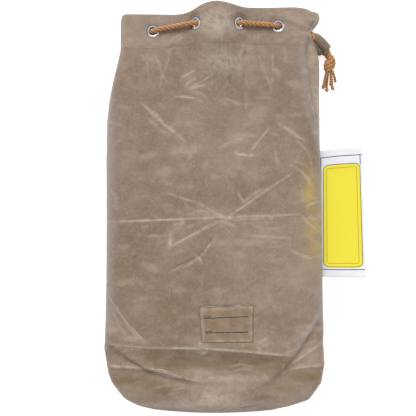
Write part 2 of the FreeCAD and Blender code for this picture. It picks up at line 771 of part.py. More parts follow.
def name_patch():
    patch = node(doc.addObject("Part::Box", "name_patch"), "name_patch")
    bind(patch, Length="patch_width", Width="patch_height", Height="patch_ply")
    patch.Placement.Base = patch_corner(0, size("eyelet_gap"))


def patch_corner(inset, above):
    x = size("patch_x") - size("patch_width") / 2 + inset
    y = BOTTOM + size("patch_up") - size("patch_height") / 2 + inset
    return V(x, y, size("sack_puff") + above)


def frame_of_thread(label, width, height, place):
    """A closed rectangle of stitching lying on a cloth."""
    outer = doc.addObject("Part::Box", label + "_outer")
    bind(outer, Length=width, Width=height, Height="thread_rise")
    inner = doc.addObject("Part::Box", label + "_inner")
    bind(inner, Length=width + " - 2 * thread", Width=height + " - 2 * thread", Height="3 * thread_rise")
    inner.Placement.Base = V(size("thread"), size("thread"), -size("thread_rise"))
    ring = doc.addObject("Part::Cut", label)
    ring.Base = outer
    ring.Tool = inner
    node(ring, label).Placement.Base = place


def name_patch_thread():
    place = patch_corner(size("patch_margin"), size("patch_ply") + 2 * size("eyelet_gap"))
    frame_of_thread("name_patch_thread", "patch_width - 2 * patch_margin", "patch_height - 2 * patch_margin", place)


def tag_y(end):
    return BOTTOM + size("tag_up") + end * size("tag_height") / 2


def padded(label, plane, corners, length):
    body = doc.addObject("PartDesign::Body", label)
    sketch = outline_sketch(body, label + "_outline", plane, corners)
    pad = body.newObject("PartDesign::Pad", label + "_pad")
    pad.Profile = sketch
    bind(pad, Length=length)
    doc.recompute()
    return body, pad


TAG_SEAM_DROP = 1.5              # the tag is sewn in this far below the seam
TAG_KNEE_EASE = 0.4              # its upper face turns this much later,
TAG_SEAM_EDGE = 0.75             # and its sewn edge is cut square by this much


def side_tag_root():
    """The sewn-in strip of the tag: from the side seam down to the floor and out to the bend."""
    side = size("sack_width") / 2
    roll = size("sack_puff") / 2
    seam_z = size("seam_rise") - TAG_SEAM_DROP
    seam_x = side - roll + math.sqrt(roll ** 2 - (roll - seam_z) ** 2) + FIT
    floor_low = size("tag_lift")
    floor_high = floor_low + size("tag_ply")
    bend = side + size("tag_bend") - FIT
    knee = (seam_x + bend) / 2
    section = [(seam_x, seam_z), (knee, floor_low), (bend, floor_low), (bend, floor_high),
               (knee + TAG_KNEE_EASE, floor_high), (seam_x + TAG_SEAM_EDGE, seam_z + TAG_SEAM_EDGE)]
    corners = [V(x, tag_y(-1), z) for x, z in section]
    face = Part.Face(Part.makePolygon(corners + corners[:1]))
    made("side_tag_root", face.extrude(V(0, size("tag_height"), 0)))


def side_tag_flap():
    width = "tag_reach - tag_bend"
    corners = [
        ("0", "0"),
        (width + " - tag_corner", "0"),
        (width, "tag_corner"),
        (width, "tag_height - tag_corner"),
        (width + " - tag_corner", "tag_height"),
        ("0", "tag_height"),
    ]
    body, pad = padded("side_tag_flap", "XY_Plane", corners, "tag_ply")
    node(body, "side_tag_flap").Placement.Base = tag_corner_at(0, size("tag_lift"))


def tag_corner_at(inset, above):
    return V(size("sack_width") / 2 + size("tag_bend") + inset, tag_y(-1) + inset, above)


def side_tag_thread():
    above = size("tag_lift") + size("tag_ply") + size("eyelet_gap")
    width = "tag_reach - tag_bend - 2 * tag_margin"
    place = tag_corner_at(size("tag_margin"), above)
    frame_of_thread("side_tag_thread", width, "tag_height - 2 * tag_margin", place)


def check_and_write():
    doc.recompute()
    for obj in doc.Objects:
        if "Invalid" in obj.State or "Error" in obj.State:
            raise ValueError("%s failed: %s" % (obj.Name, obj.State))
    for obj in nodes:
        if obj.Shape.isNull() or not obj.Shape.isValid():
            raise ValueError(obj.Label + " has no valid shape")
        if not obj.Shape.Solids or obj.Shape.Volume <= 0:
            raise ValueError(obj.Label + " isn't solid")
    os.makedirs("parts", exist_ok=True)
    for obj in nodes:
        obj.Shape.exportStep("parts/%s.step" % obj.Label)


front_panel()
back_panel()
mouth_collar_front()
mouth_facing_front()
mouth_facing_back()
hem_thread_front()
hem_thread_back()
mouth_pleat()
for number, (place, outward) in sorted(eyelet_seats().items()):
    eyelet(number, place, outward)
    eyelet_washer(number, place, outward)
drawstring()
drawstring_knot()
tassel()
base_disc()
base_seam_welt()
base_seam_thread()
side_seam_thread()
name_patch()
name_patch_thread()
side_tag_root()
side_tag_flap()
side_tag_thread()
check_and_write()
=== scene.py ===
"""Looks for a waxed canvas drawstring sack that lies flat on a pale floor.

The cloth, the drawstring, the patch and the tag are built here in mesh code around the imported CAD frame.
Lengths in the tables below are millimetres in the row frame, and the meshes are metres.
"""

import math
from functools import reduce

import bpy
import numpy as np
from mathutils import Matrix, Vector, noise


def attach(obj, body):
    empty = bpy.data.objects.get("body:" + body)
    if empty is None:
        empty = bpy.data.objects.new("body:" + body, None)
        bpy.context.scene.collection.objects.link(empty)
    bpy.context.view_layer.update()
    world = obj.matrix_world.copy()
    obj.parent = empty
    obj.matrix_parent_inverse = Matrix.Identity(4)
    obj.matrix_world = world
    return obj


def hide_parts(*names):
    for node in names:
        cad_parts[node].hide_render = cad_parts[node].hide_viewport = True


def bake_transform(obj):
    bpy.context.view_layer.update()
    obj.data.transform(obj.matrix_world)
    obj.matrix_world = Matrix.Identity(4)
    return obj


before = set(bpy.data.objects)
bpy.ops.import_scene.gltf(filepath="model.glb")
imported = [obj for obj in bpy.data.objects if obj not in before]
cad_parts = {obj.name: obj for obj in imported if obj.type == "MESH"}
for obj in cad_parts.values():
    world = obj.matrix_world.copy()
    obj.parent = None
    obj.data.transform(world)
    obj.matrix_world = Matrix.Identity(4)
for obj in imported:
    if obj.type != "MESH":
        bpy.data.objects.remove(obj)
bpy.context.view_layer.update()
MM = 0.001
FULL_TURN = 2 * math.pi


# ---------------------------------------------------------------- helpers


def linear(red, green, blue):
    """A screen colour from 0 to 255 as linear light."""
    out = []
    for part in (red, green, blue):
        part /= 255
        out.append(part / 12.92 if part <= 0.04045 else ((part + 0.055) / 1.055) ** 2.4)
    return (*out, 1.0)


def grey_level(value):
    return (value, value, value, 1)


def smooth(low, high, value):
    share = np.clip((np.asarray(value, float) - low) / (high - low), 0, 1)
    return share * share * (3 - 2 * share)


def gauss(distance, width):
    return np.exp(-((distance / width) ** 2))


def unit(vectors):
    return vectors / np.maximum(np.linalg.norm(vectors, axis=-1), 1e-9)[..., None]


def knots(table, value, spread=5.0):
    """A table of (where, what) as a smooth function: straight between its rows, then rounded at them."""
    where, what = np.array(table, float).T
    value = np.asarray(value, float)
    total = np.zeros_like(value)
    for shift, weight in ((-1.2, 0.12), (-0.6, 0.23), (0, 0.30), (0.6, 0.23), (1.2, 0.12)):
        total += weight * np.interp(value + shift * spread, where, what)
    return total


def bump_noise(x, y, size, seed):
    flat = [noise.noise(Vector((a / size + seed, b / size, seed * 0.37))) for a, b in zip(np.ravel(x), np.ravel(y))]
    return np.array(flat).reshape(np.shape(x))


def turned(sides):
    """Angles evenly round a circle."""
    return np.arange(sides) * FULL_TURN / sides


def cells(index):
    """The four corners of each cell in a grid of vertex numbers."""
    return np.stack([index[:-1, :-1], index[:-1, 1:], index[1:, 1:], index[1:, :-1]], -1)


def quads(index):
    return cells(index).reshape(-1, 4).tolist()


def closed(index):
    """A grid of vertex numbers whose last column meets its first."""
    return np.concatenate([index, index[:, :1]], 1)


def tube(rings, sides, start=0, ends=True):
    """The faces of a tube of rings of vertices, whose first vertex is start."""
    index = start + np.arange(rings * sides).reshape(rings, sides)
    return quads(closed(index)) + ([index[0][::-1].tolist(), index[-1].tolist()] if ends else [])


def mesh_object(name, vertices, faces, material, smooth_faces=True):
    """A mesh of vertices in millimetres, in the scene in metres."""
    mesh = bpy.data.meshes.new(name)
    mesh.from_pydata((np.asarray(vertices, float) * MM).tolist(), [], [tuple(map(int, f)) for f in faces])
    mesh.update()
    if smooth_faces:
        mesh.shade_smooth()
    made = bpy.data.objects.new(name, mesh)
    mesh.materials.append(material)
    scene.collection.objects.link(made)
    return made


def store(made, name, values):
    """Keeps a number or a vector for each vertex, for the material to read."""
    values = np.asarray(values, np.float32)
    kind, key_name = ("FLOAT", "value") if values.ndim == 1 else ("FLOAT_VECTOR", "vector")
    made.data.attributes.new(name, kind, "POINT").data.foreach_set(key_name, values.ravel())


def cloth_mesh(name, vertices, faces, material, rest=None):
    """A mesh that knows where its cloth lies at rest, so its pattern stays with it."""
    made = mesh_object(name, vertices, faces, material)
    store(made, "rest", np.asarray(vertices if rest is None else rest) * MM)
    return made


def dress(made, slot, *nodes, body=None):
    """The body a piece rides on and the CAD nodes it stands for. The slot is not used."""
    if body:
        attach(made, body)
    if nodes:
        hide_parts(*nodes)


class Graph:
    """A node tree with short calls: every input takes a number, a colour or another node's output."""

    def __init__(self, owner):
        owner.use_nodes = True
        self.owner, self.tree = owner, owner.node_tree
        self.tree.nodes.clear()

    def add(self, kind, inputs=None, **settings):
        node = self.tree.nodes.new(kind)
        for name, value in settings.items():
            setattr(node, name, value)
        for name, value in (inputs or {}).items():
            socket = node.inputs[name]
            if isinstance(value, bpy.types.NodeSocket):
                self.tree.links.new(value, socket)
            else:
                socket.default_value = value
        return node

    def math(self, operation, a, b=0.0, clamp=False):
        return self.add("ShaderNodeMath", {0: a, 1: b}, operation=operation, use_clamp=clamp).outputs[0]

    def plus(self, a, b):
        return self.math("ADD", a, b)

    def minus(self, a, b):
        return self.math("SUBTRACT", a, b)

    def times(self, a, b, clamp=False):
        return self.math("MULTIPLY", a, b, clamp)

    def most(self, a, b):
        return self.math("MAXIMUM", a, b)

    def size(self, a):
        return self.math("ABSOLUTE", a)

    def vector(self, operation, a, b=(0, 0, 0)):
        return self.add("ShaderNodeVectorMath", {0: a, 1: b}, operation=operation).outputs[0]

    def axes(self, at):
        return self.add("ShaderNodeSeparateXYZ", {0: at}).outputs

    def span(self, value, low, high, to_low=0.0, to_high=1.0):
        """Value's share between low and high, smoothed and clamped, as a number from to_low to to_high."""
        ends = {"Value": value, "From Min": low, "From Max": high, "To Min": to_low, "To Max": to_high}
        return self.add("ShaderNodeMapRange", ends, interpolation_type="SMOOTHSTEP").outputs["Result"]

    def mix(self, share, a, b, blend="MIX"):
        return self.add("ShaderNodeMix", {0: share, 6: a, 7: b}, data_type="RGBA", blend_type=blend).outputs[2]

    def noise(self, at, scale, detail=3.0, rough=0.5, stretch=None):
        if stretch:
            at = self.vector("MULTIPLY", at, stretch)
        inputs = {"Vector": at, "Scale": scale, "Detail": detail, "Roughness": rough}
        return self.add("ShaderNodeTexNoise", inputs).outputs["Fac"]

    def attribute(self, name, output="Vector"):
        return self.add("ShaderNodeAttribute", attribute_name=name).outputs[output]

    def scuffs(self, at, turn, scale):
        """Short straight scratches that all run one way."""
        at = self.add("ShaderNodeVectorRotate", {"Vector": at, "Angle": turn}, rotation_type="Z_AXIS").outputs[0]
        return self.span(self.noise(at, scale, 4.0, 0.6, (1, 11, 1)), 0.63, 0.76)

    def drawn_line(self, name):
        """The strength of the nearest line, from its signed distance, strength and reach at each vertex."""
        distance, strength, reach = self.axes(self.attribute(name))
        drift = self.times(self.minus(self.noise(self.attribute("rest"), 45.0), 0.5), 0.004)
        return self.times(self.span(self.size(self.plus(distance, drift)), 0.0, reach, 1.0, 0.0), strength)

    def bump(self, height, distance, strength=1.0, under=None):
        inputs = {"Height": height, "Distance": distance, "Strength": strength}
        if under is not None:
            inputs["Normal"] = under
        return self.add("ShaderNodeBump", inputs).outputs["Normal"]

    def surface(self, **inputs):
        """Ends the tree in one shader, and gives back the material."""
        shader = self.add("ShaderNodeBsdfPrincipled", {k.replace("_", " "): v for k, v in inputs.items()})
        self.tree.links.new(shader.outputs[0], self.add("ShaderNodeOutputMaterial").inputs[0])
        return self.owner


def new_graph(name):
    return Graph(bpy.data.materials.new(name))


# ---------------------------------------------------------------- camera, light and floor

scene = bpy.context.scene
scene.view_settings.view_transform = "Standard"

LENS, SENSOR = 120, 36
VIEW_WIDTH = 0.911  # what the frame takes in at the sack's top
TOP_OF_SACK = 0.044
camera = bpy.data.objects.new("camera", bpy.data.cameras.new("camera"))
camera.data.lens, camera.data.sensor_width = LENS, SENSOR
camera.location = (-0.0164, -0.0022, TOP_OF_SACK + VIEW_WIDTH * LENS / SENSOR)
scene.collection.objects.link(camera)
scene.camera = camera

KEY_STRENGTH, KEY_SOFTNESS = 2.5, 30
KEY_FROM = (-0.16, 0.82, 0.95)
key = bpy.data.objects.new("key", bpy.data.lights.new("key", "SUN"))
key.data.energy, key.data.angle = KEY_STRENGTH, math.radians(KEY_SOFTNESS)
key.rotation_euler = Vector(KEY_FROM).to_track_quat("Z", "Y").to_euler()
scene.collection.objects.link(key)

FILL_STRENGTH = 0.62
FLOOR_HALF = 12000


def make_world():
    """An even white studio."""
    scene.world = bpy.data.worlds.new("studio")
    g = Graph(scene.world)
    sky = g.add("ShaderNodeBackground", {"Color": grey_level(1.0), "Strength": FILL_STRENGTH})
    g.tree.links.new(sky.outputs[0], g.add("ShaderNodeOutputWorld").inputs[0])


def make_floor():
    g = new_graph("pale_floor")
    grain = g.noise(g.add("ShaderNodeTexCoord").outputs["Object"], 9.0)
    material = g.surface(
        Base_Color=g.mix(grain, grey_level(0.88), grey_level(0.92)),
        Roughness=0.9,
        Emission_Color=grey_level(1.0),
        Emission_Strength=FILL_STRENGTH,
    )
    corners = [(FLOOR_HALF * a, FLOOR_HALF * b, 0) for a, b in ((-1, -1), (1, -1), (1, 1), (-1, 1))]
    mesh_object("floor", corners, [(0, 1, 2, 3)], material, False)


make_world()
make_floor()


# ---------------------------------------------------------------- materials

CLOTH = linear(141, 121, 106)
CLOTH_DARK = linear(119, 99, 81)
CLOTH_LIGHT = linear(166, 149, 134)
CHALK_AND_HIGHLIGHT = linear(196, 182, 166)
OLIVE_GRIME_AND_SHADE = linear(108, 90, 58)
STAIN = linear(170, 147, 76)
# the colour of the painted sheen at the edges and along the folds
PAINTED_SHEEN_GREY = linear(150, 148, 146)
INK = linear(50, 44, 58)
CREASE_SHADE = linear(92, 76, 60)


def weave(g, at, pitch, depth, under=None):
    """The bump of a plain weave."""
    threads = [g.math("SINE", g.times(g.axes(at)[axis], FULL_TURN / pitch)) for axis in (0, 1)]
    slub = g.noise(at, 900.0, 2.0, stretch=(1, 0.12, 1))
    height = g.plus(g.times(g.times(*threads), 0.5), slub)
    return g.bump(height, depth, 0.6, under)


def canvas_material(name, tint=(1, 1, 1, 1), marks=True):
    """Waxed cotton duck: clouded brown wax, chalky creases, darker grime and a fine weave, with painted highlights,
    painted shade and a painted sheen where the marks say.
    """
    g = new_graph(name)
    at = g.attribute("rest")
    clouds = g.noise(at, 7.0, 5.0, 0.62)
    patches = g.noise(g.vector("ADD", at, (3.1, 0.7, 0.2)), 24.0, 5.0, 0.65)
    grime = g.noise(g.vector("ADD", at, (1.7, 5.2, 0.9)), 38.0, 4.0, 0.6)
    fine = g.noise(at, 170.0, 3.0, 0.7)
    mottle = g.noise(g.vector("ADD", at, (4.4, 1.1, 0.3)), 90.0, 5.0, 0.78)
    speckle = g.noise(at, 420.0, 1.0, 0.6)
    colour = g.mix(g.span(clouds, 0.34, 0.68), CLOTH_DARK, CLOTH)
    for field, low, high, share, other in (
        (patches, 0.46, 0.76, 0.46, CLOTH_LIGHT),
        (grime, 0.50, 0.78, 0.36, CLOTH_DARK),
        (fine, 0.30, 0.75, 0.28, CLOTH_LIGHT),
        (mottle, 0.52, 0.72, 0.38, CLOTH_LIGHT),
        (mottle, 0.46, 0.28, 0.40, CLOTH_DARK),
        (speckle, 0.50, 0.74, 0.60, CLOTH_DARK),
    ):
        colour = g.mix(g.span(field, low, high, 0.0, share), colour, other)
    if marks:
        brushed = g.span(g.noise(at, 30.0, 5.0, 0.7, (1, 2.6, 1)), 0.30, 0.66, 0.45, 1.0)
        # olive grime, and painted shade in the folds and hollows
        colour = g.mix(g.times(g.attribute("olive_grime_and_shade", "Fac"), brushed), colour, OLIVE_GRIME_AND_SHADE)
        blotched = g.span(g.noise(at, 26.0, 5.0, 0.72), 0.34, 0.58, 0.50, 1.25)
        colour = g.mix(g.times(g.attribute("stain", "Fac"), blotched, clamp=True), colour, STAIN)
        # painted sheen: grey at the side edges, along the folds and at the foot's rims
        colour = g.mix(g.attribute("painted_sheen", "Fac"), colour, PAINTED_SHEEN_GREY)
        # pale worn wax, with painted highlights on crests and painted light on slopes turned from the light
        broken = g.span(g.noise(at, 60.0, 4.0, 0.7), 0.30, 0.62, 0.30, 1.0)
        pale = g.most(g.drawn_line("pale_crease_and_highlight"), g.attribute("chalk_and_painted_light", "Fac"))
        pale = g.times(pale, broken, clamp=True)
        colour = g.mix(pale, colour, CHALK_AND_HIGHLIGHT)
        # painted shade along the folds' edges, the patch's edge and the hem's stitching
        colour = g.mix(g.drawn_line("dark_edge"), colour, CREASE_SHADE)
    colour = g.mix(1.0, colour, tint, "MULTIPLY")
    scratches = g.most(g.scuffs(at, 0.55, 26.0), g.scuffs(at, -0.85, 22.0))
    scratches = g.most(scratches, g.scuffs(at, 1.65, 30.0))
    colour = g.mix(g.times(scratches, 0.34), colour, CHALK_AND_HIGHLIGHT)
    relief = g.bump(g.noise(at, 24.0, 6.0, 0.62), 0.007, 0.55)
    relief = g.bump(scratches, 0.0010, 0.4, relief)
    if marks:
        relief = g.bump(pale, 0.0012, 0.5, relief)
    return g.surface(
        Base_Color=colour,
        Roughness=g.span(patches, 0.2, 0.8, 0.52, 0.74),
        Normal=weave(g, at, 0.0013, 0.0003, relief),
        Sheen_Weight=0.22,
        Sheen_Roughness=0.45,
        Specular_IOR_Level=0.35,
    )


def rope_material():
    """Golden brown hemp: yarns laid along the strands, with painted shade in the valleys between them."""
    g = new_graph("hemp_rope")
    lay = g.add("ShaderNodeUVMap", uv_map="lay").outputs["UV"]
    along, around, _ = g.axes(lay)
    wander = g.noise(lay, 9.0, 3.0, stretch=(4, 3, 1))
    phase = g.plus(g.times(around, 30.0), g.times(along, 55.0))
    phase = g.plus(phase, g.times(wander, 5.0))
    yarn = g.span(g.math("SINE", g.times(phase, FULL_TURN)), -1.0, 1.0)
    colour = g.mix(yarn, linear(176, 116, 64), linear(238, 180, 122))
    streaks = g.noise(lay, 6.0, 4.0, stretch=(30, 6, 1))
    colour = g.mix(g.span(streaks, 0.3, 0.7, 0.0, 0.6), colour, linear(216, 148, 88))
    # painted shade: darker in the valleys between the strands
    colour = g.mix(g.times(g.attribute("valley_shade", "Fac"), 0.75), colour, linear(122, 78, 44))
    return g.surface(
        Base_Color=colour,
        Roughness=0.72,
        Normal=g.bump(yarn, 0.0006, 0.9),
        Sheen_Weight=0.25,
        Specular_IOR_Level=0.3,
    )


def shaded(colour, share):
    return (*(min(1, c * share) for c in colour[:3]), 1)


def metal_material(name, colour, rough, painted_reflection=None):
    """Worn plated metal. A painted reflection colours the upper left of each ring's rim."""
    g = new_graph(name)
    coordinates = g.add("ShaderNodeTexCoord")
    at = coordinates.outputs["Object"]
    scuffs = g.noise(at, 900.0, 4.0, 0.7)
    tint = g.mix(g.span(scuffs, 0.45, 0.75, 0.0, 0.5), colour, shaded(colour, 0.72))
    if painted_reflection:
        # painted reflection: navy on each ring's outer rim towards the upper left
        ring = g.axes(coordinates.outputs["Generated"])
        lean = g.minus(g.times(ring[1], 0.8), g.times(ring[0], 0.45))
        lean = g.plus(lean, g.times(g.noise(at, 160.0, 2.0), 0.25))
        centred = [g.minus(ring[axis], 0.5) for axis in (0, 1)]
        rim = g.span(g.plus(*[g.times(place, place) for place in centred]), 0.155, 0.185)
        tint = g.mix(g.times(g.span(lean, 0.18, 0.32), rim), tint, painted_reflection)
    return g.surface(
        Base_Color=tint,
        Metallic=1.0,
        Roughness=g.span(scuffs, 0.35, 0.75, rough, rough + 0.16),
        Normal=g.bump(g.noise(at, 260.0, 2.0), 0.0002, 0.25),
    )


def thread_material(name, colour):
    g = new_graph(name)
    twist = g.noise(g.attribute("rest"), 2600.0, 2.0)
    return g.surface(
        Base_Color=g.mix(twist, colour, shaded(colour, 1.5)),
        Roughness=0.7,
        Normal=g.bump(twist, 0.0002, 0.6),
        Sheen_Weight=0.2,
    )


SACK = canvas_material("waxed_canvas")
# The pleat's folds take a darker, greener copy of the canvas: painted shade.
PLEAT_SHADED = canvas_material("waxed_canvas_fold_shaded", (0.80, 0.82, 0.74, 1), marks=False)
ROPE = rope_material()
# the navy is a painted reflection on the eyelets' rims
NICKEL = metal_material("bright_nickel", (0.92, 0.92, 0.96, 1), 0.10, (0.20, 0.20, 0.40, 1))
STEEL = metal_material("washer_steel_worn", (0.55, 0.54, 0.52, 1), 0.30)
THREAD = thread_material("waxed_thread", linear(138, 120, 100))
PATCH_THREAD = thread_material("patch_thread", linear(120, 104, 88))
TAG_THREAD = thread_material("tag_thread", (0.72, 0.72, 0.74, 1))


# ---------------------------------------------------------------- the drawstring

ROPE_D = 11.5
ROPE_PITCH = 30.0
FRONT_RING = [
    (-178, 396, 15.5), (-178.5, 395.5, 38), (-160, 390, 38.5), (-141, 384, 37.5), (-133, 386, 57), (-94, 393, 55.5),
    (-52, 401, 65.5), (-33.5, 401, 56), (41.5, 401, 56), (60, 401, 65.5), (98, 399, 55.5), (133, 396.5, 57),
    (141, 395.5, 37.5), (154, 411, 32), (171.3, 417.1, 29.8), (181, 407.8, 29.8),
]
BACK_RING = [
    (191.7, 383.3, 6.05), (179, 395.4, 6.05), (146, 396, 6.05), (138, 396, 24.7), (66, 396, 24.7), (58, 396, 6.05),
    (-14, 396, 6.05), (-22, 396, 24.7), (-94, 396, 24.7), (-102, 396, 6.05), (-177.5, 396, 6.05), (-178, 396, 16),
]
TAIL_1 = [
    (181.4, 407.5, 29.8), (206, 384.1, 31), (214, 377, 34.5), (243, 348.8, 30), (251.5, 337, 21.5), (252, 327, 20),
]
TAIL_2 = [(192, 383, 6.05), (232, 344.9, 6.05), (247, 338, 7), (252, 327, 8.2)]
STRANDS = [
    [(246, 301, 14.2), (243, 287, 7), (240.5, 274, 4.6), (238, 262, 4.4)],
    [(249, 301, 9), (248, 286, 5), (246.5, 270, 4.8), (247.5, 255, 4.6)],
    [(255, 301, 9), (257, 287, 5), (258.5, 272, 4.8), (261, 259, 4.6)],
    [(258, 301, 14.2), (262, 292, 12), (265, 284, 8.5), (266, 276, 6)],
    [(255, 301, 19.4), (256, 289, 15), (255.5, 278, 10), (254.5, 268, 7.5)],
    [(249, 301, 19.4), (246, 288, 15), (242, 276, 9.5), (241, 264, 7.5)],
]
KNOT_PLACE = (252.5, 315.5, 14.6)
KNOT_TURNS, KNOT_LENGTH = 3.6, 31.0
KNOT_STRAND, TASSEL_STRAND = (5.6, 17.0), (3.3, 11.0)  # radius and pitch
KNOBBED = {0: 0.8, 1: 1.3, 2: 1.2, 3: 0.5}  # how far each strand's end swells
OTHER_KNOB = 0.25

# Two points in metres on the front's rope, where it rises from the back's last eyelet. They are read but nothing is
# drawn from them.
LINK_START, LINK_END = (0, 0.300, 0.04464), (0, 0.30305, 0.05521)


def spline_points(points):
    """Points along the smooth curve that a route's control points give, in millimetres."""
    data = bpy.data.curves.new("route", "CURVE")
    data.dimensions = "3D"
    spline = data.splines.new("NURBS")
    spline.points.add(len(points) - 1)
    for place, point in zip(spline.points, points):
        place.co = (*(c * MM for c in point), 1)
    spline.order_u = 3
    spline.use_endpoint_u = True
    spline.resolution_u = data.resolution_u = 24
    holder = bpy.data.objects.new("route", data)
    mesh = bpy.data.meshes.new_from_object(holder)
    line = np.array([v.co for v in mesh.vertices]) / MM
    bpy.data.objects.remove(holder)
    bpy.data.meshes.remove(mesh)
    bpy.data.curves.remove(data)
    return line


def even(line, step):
    """The line's points spaced evenly, about step apart, with the distance to each."""
    along = np.concatenate([[0], np.cumsum(np.linalg.norm(np.diff(line, axis=0), axis=1))])
    count = max(4, int(round(along[-1] / step)) + 1)
    at = np.linspace(0, along[-1], count)
    return np.stack([np.interp(at, along, line[:, k]) for k in range(3)], 1), at


def frames(line):
    """Two directions across the line at each point, carried along it without twist."""
    tangents = unit(np.gradient(line, axis=0))
    side = unit(np.cross(tangents[0], (0.02, 0.01, 1.0)))
    sides = []
    for tangent in tangents:
        side = unit(side - tangent * (side @ tangent))
        sides.append(side)
    sides = np.array(sides)
    return sides, np.cross(tangents, sides)


def laid(radius, pitch, lobes=3, offset=0.45, lobe=0.55, taper=None):
    """The radius and the depth between strands of a rope laid from round strands."""

    def place(at, angle):
        turn = np.mod(angle - at * FULL_TURN / pitch, FULL_TURN / lobes) - math.pi / lobes
        shape = offset * np.cos(turn) + np.sqrt(np.maximum(lobe**2 - (offset * np.sin(turn)) ** 2, 0))
        size = radius if taper is None else radius * taper(at)
        return shape * size, np.clip((1 - shape) / (1 - shape.min() + 1e-9), 0, 1) ** 1.5

    return place


def sweep(name, line, at, lay, sides):
    """A closed tube of rope round a line. Lay gives its radius and depth for each distance and angle."""
    across, up = frames(line)
    angles = turned(sides)[None, :]
    radius, depth = lay(at[:, None], angles)
    spokes = np.cos(angles)[..., None] * across[:, None, :] + np.sin(angles)[..., None] * up[:, None, :]
    ring = line[:, None, :] + radius[..., None] * spokes
    vertices = np.concatenate([ring.reshape(-1, 3), line[:1], line[-1:]])
    first, last = len(vertices) - 2, len(vertices) - 1
    end = len(line) - 1

    def rim(i, j):
        return i * sides + j % sides, at[i], j

    corners = []  # each face's corners: vertex, distance along the rope and side
    for j in range(sides):
        corners += [[rim(i, j + 1), rim(i + 1, j + 1), rim(i + 1, j), rim(i, j)] for i in range(end)]
        corners += [[rim(0, j + 1), rim(0, j), (first, at[0], j)], [rim(end, j), rim(end, j + 1), (last, at[-1], j)]]
    made = mesh_object(name, vertices, [[corner[0] for corner in face] for face in corners], ROPE)
    flat = [value for face in corners for _, along, side in face for value in (along * MM, side / sides)]
    made.data.uv_layers.new(name="lay").data.foreach_set("uv", flat)
    # the depth between strands, for the painted shade in the valleys
    store(made, "valley_shade", np.concatenate([depth.ravel(), [1, 1]]))
    return made


def cord(name, node, route, far_end, lay, body=None, **more):
    """A run of the drawstring. With no body of its own it is baked in place and rides on no body."""
    line, at = even(spline_points(route), 1.7)
    made = sweep(name, line, at, laid(ROPE_D / 2, ROPE_PITCH), 30)
    if not body:
        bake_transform(made)
        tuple(LINK_START)
        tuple(LINK_END)
    dress(made, "rope", node, body=body)


def knot_piece():
    """A stopper knot of both tails, drawn tight: slanting turns laid side by side round a core."""
    share = np.linspace(0, 1, 260)
    swell = np.sin(math.pi * (0.10 + 0.80 * share)) ** 0.6
    angle = FULL_TURN * KNOT_TURNS * share
    turns = np.stack(
        [
            8.6 * swell * np.cos(angle) + 2.0 * np.sin(angle),
            4.2 * np.cos(angle) - KNOT_LENGTH * (share - 0.5) * 0.78,
            7.2 * swell * np.sin(angle),
        ],
        1,
    )
    line, at = even(turns + KNOT_PLACE, 1.4)
    made = sweep("drawstring_knot_tied", line, at, laid(*KNOT_STRAND), 26)
    dress(made, "rope", "drawstring_knot", body="drawstring_tails")
    return made


def strand_piece(index, points):
    """One unlaid strand of the tassel, with a knob or a frayed end."""
    line, at = even(spline_points(points), 0.9)
    length = at[-1]
    knob = KNOBBED.get(index, OTHER_KNOB)

    def taper(s):
        swell = gauss(s - (length - 4.4), 3.0)
        size = 1.0 + 0.20 * np.exp(-s / length * 6) + knob * 0.45 * swell
        return size * (1 - 0.5 * smooth(length - 1.6, length, s))

    lay = laid(*TASSEL_STRAND, lobes=2, offset=0.38, lobe=0.62, taper=taper)
    made = sweep(f"tassel_strand_unlaid_{index + 1}", line, at, lay, 14)
    dress(made, "rope", f"tassel_strand_{index + 1}", body="drawstring_tails")
    return made


cord("drawstring_ring_back", "drawstring_back", BACK_RING, "object", "taut", "sack")
cord("drawstring_ring_front", "drawstring_front", FRONT_RING, "object", "taut")
knot = knot_piece()
strands = [strand_piece(i, points) for i, points in enumerate(STRANDS)]
for name, node, route, pieces in (
    ("drawstring_tail_front", "drawstring_tail_1", TAIL_1, [knot, *strands]),
    ("drawstring_tail_rear", "drawstring_tail_2", TAIL_2, [knot]),
):
    cord(name, node, route, "knot", "loose", "drawstring_tails", with_pieces=pieces)


# ---------------------------------------------------------------- the sack's shape

# The cloth's rows run from the foot to the rim. Its sides are (row, x), its rims and its hem (x, y).
FOOT, RIM = -446.0, 420.0
LEFT_EDGE = [
    (-446, -128), (-444, -150), (-437, -174), (-424, -200), (-405, -215), (-388, -228), (-366, -237), (-335, -242),
    (-312, -246), (-291, -244), (-160, -241), (-28, -240.5), (103, -241), (190, -239), (234, -234), (278, -225),
    (322, -214), (344, -209), (388, -209), (412, -208), (420, -206),
]
RIGHT_EDGE = [
    (-446, 118), (-443, 150), (-435, 178), (-425, 207), (-405, 221), (-386, 234), (-366, 237), (-345, 241),
    (-325, 239.5), (-300, 238), (-270, 239), (-204, 237), (-100, 236), (15, 234), (80, 232.5), (147, 230), (234, 229),
    (300, 229), (322, 228), (344, 224), (366, 216), (380, 208), (390, 217), (400, 225), (412, 230), (420, 228),
]
FRONT_RIM = [
    (-212, 421.5), (-190, 422), (-121, 421.5), (-90, 421), (-72, 422.5), (-56, 427), (-42, 434), (-26, 441),
    (-10, 445.5), (4, 447), (18, 445), (32, 441.5), (48, 438), (62, 436), (102, 436), (175, 437.5), (196, 434.5),
    (208, 430), (218, 421), (229, 411),
]
BACK_RIM = 415.0
HEM_STITCH = [(-212, 347), (-130, 348), (-90, 352), (-30, 358), (60, 358), (150, 356), (212, 354)]
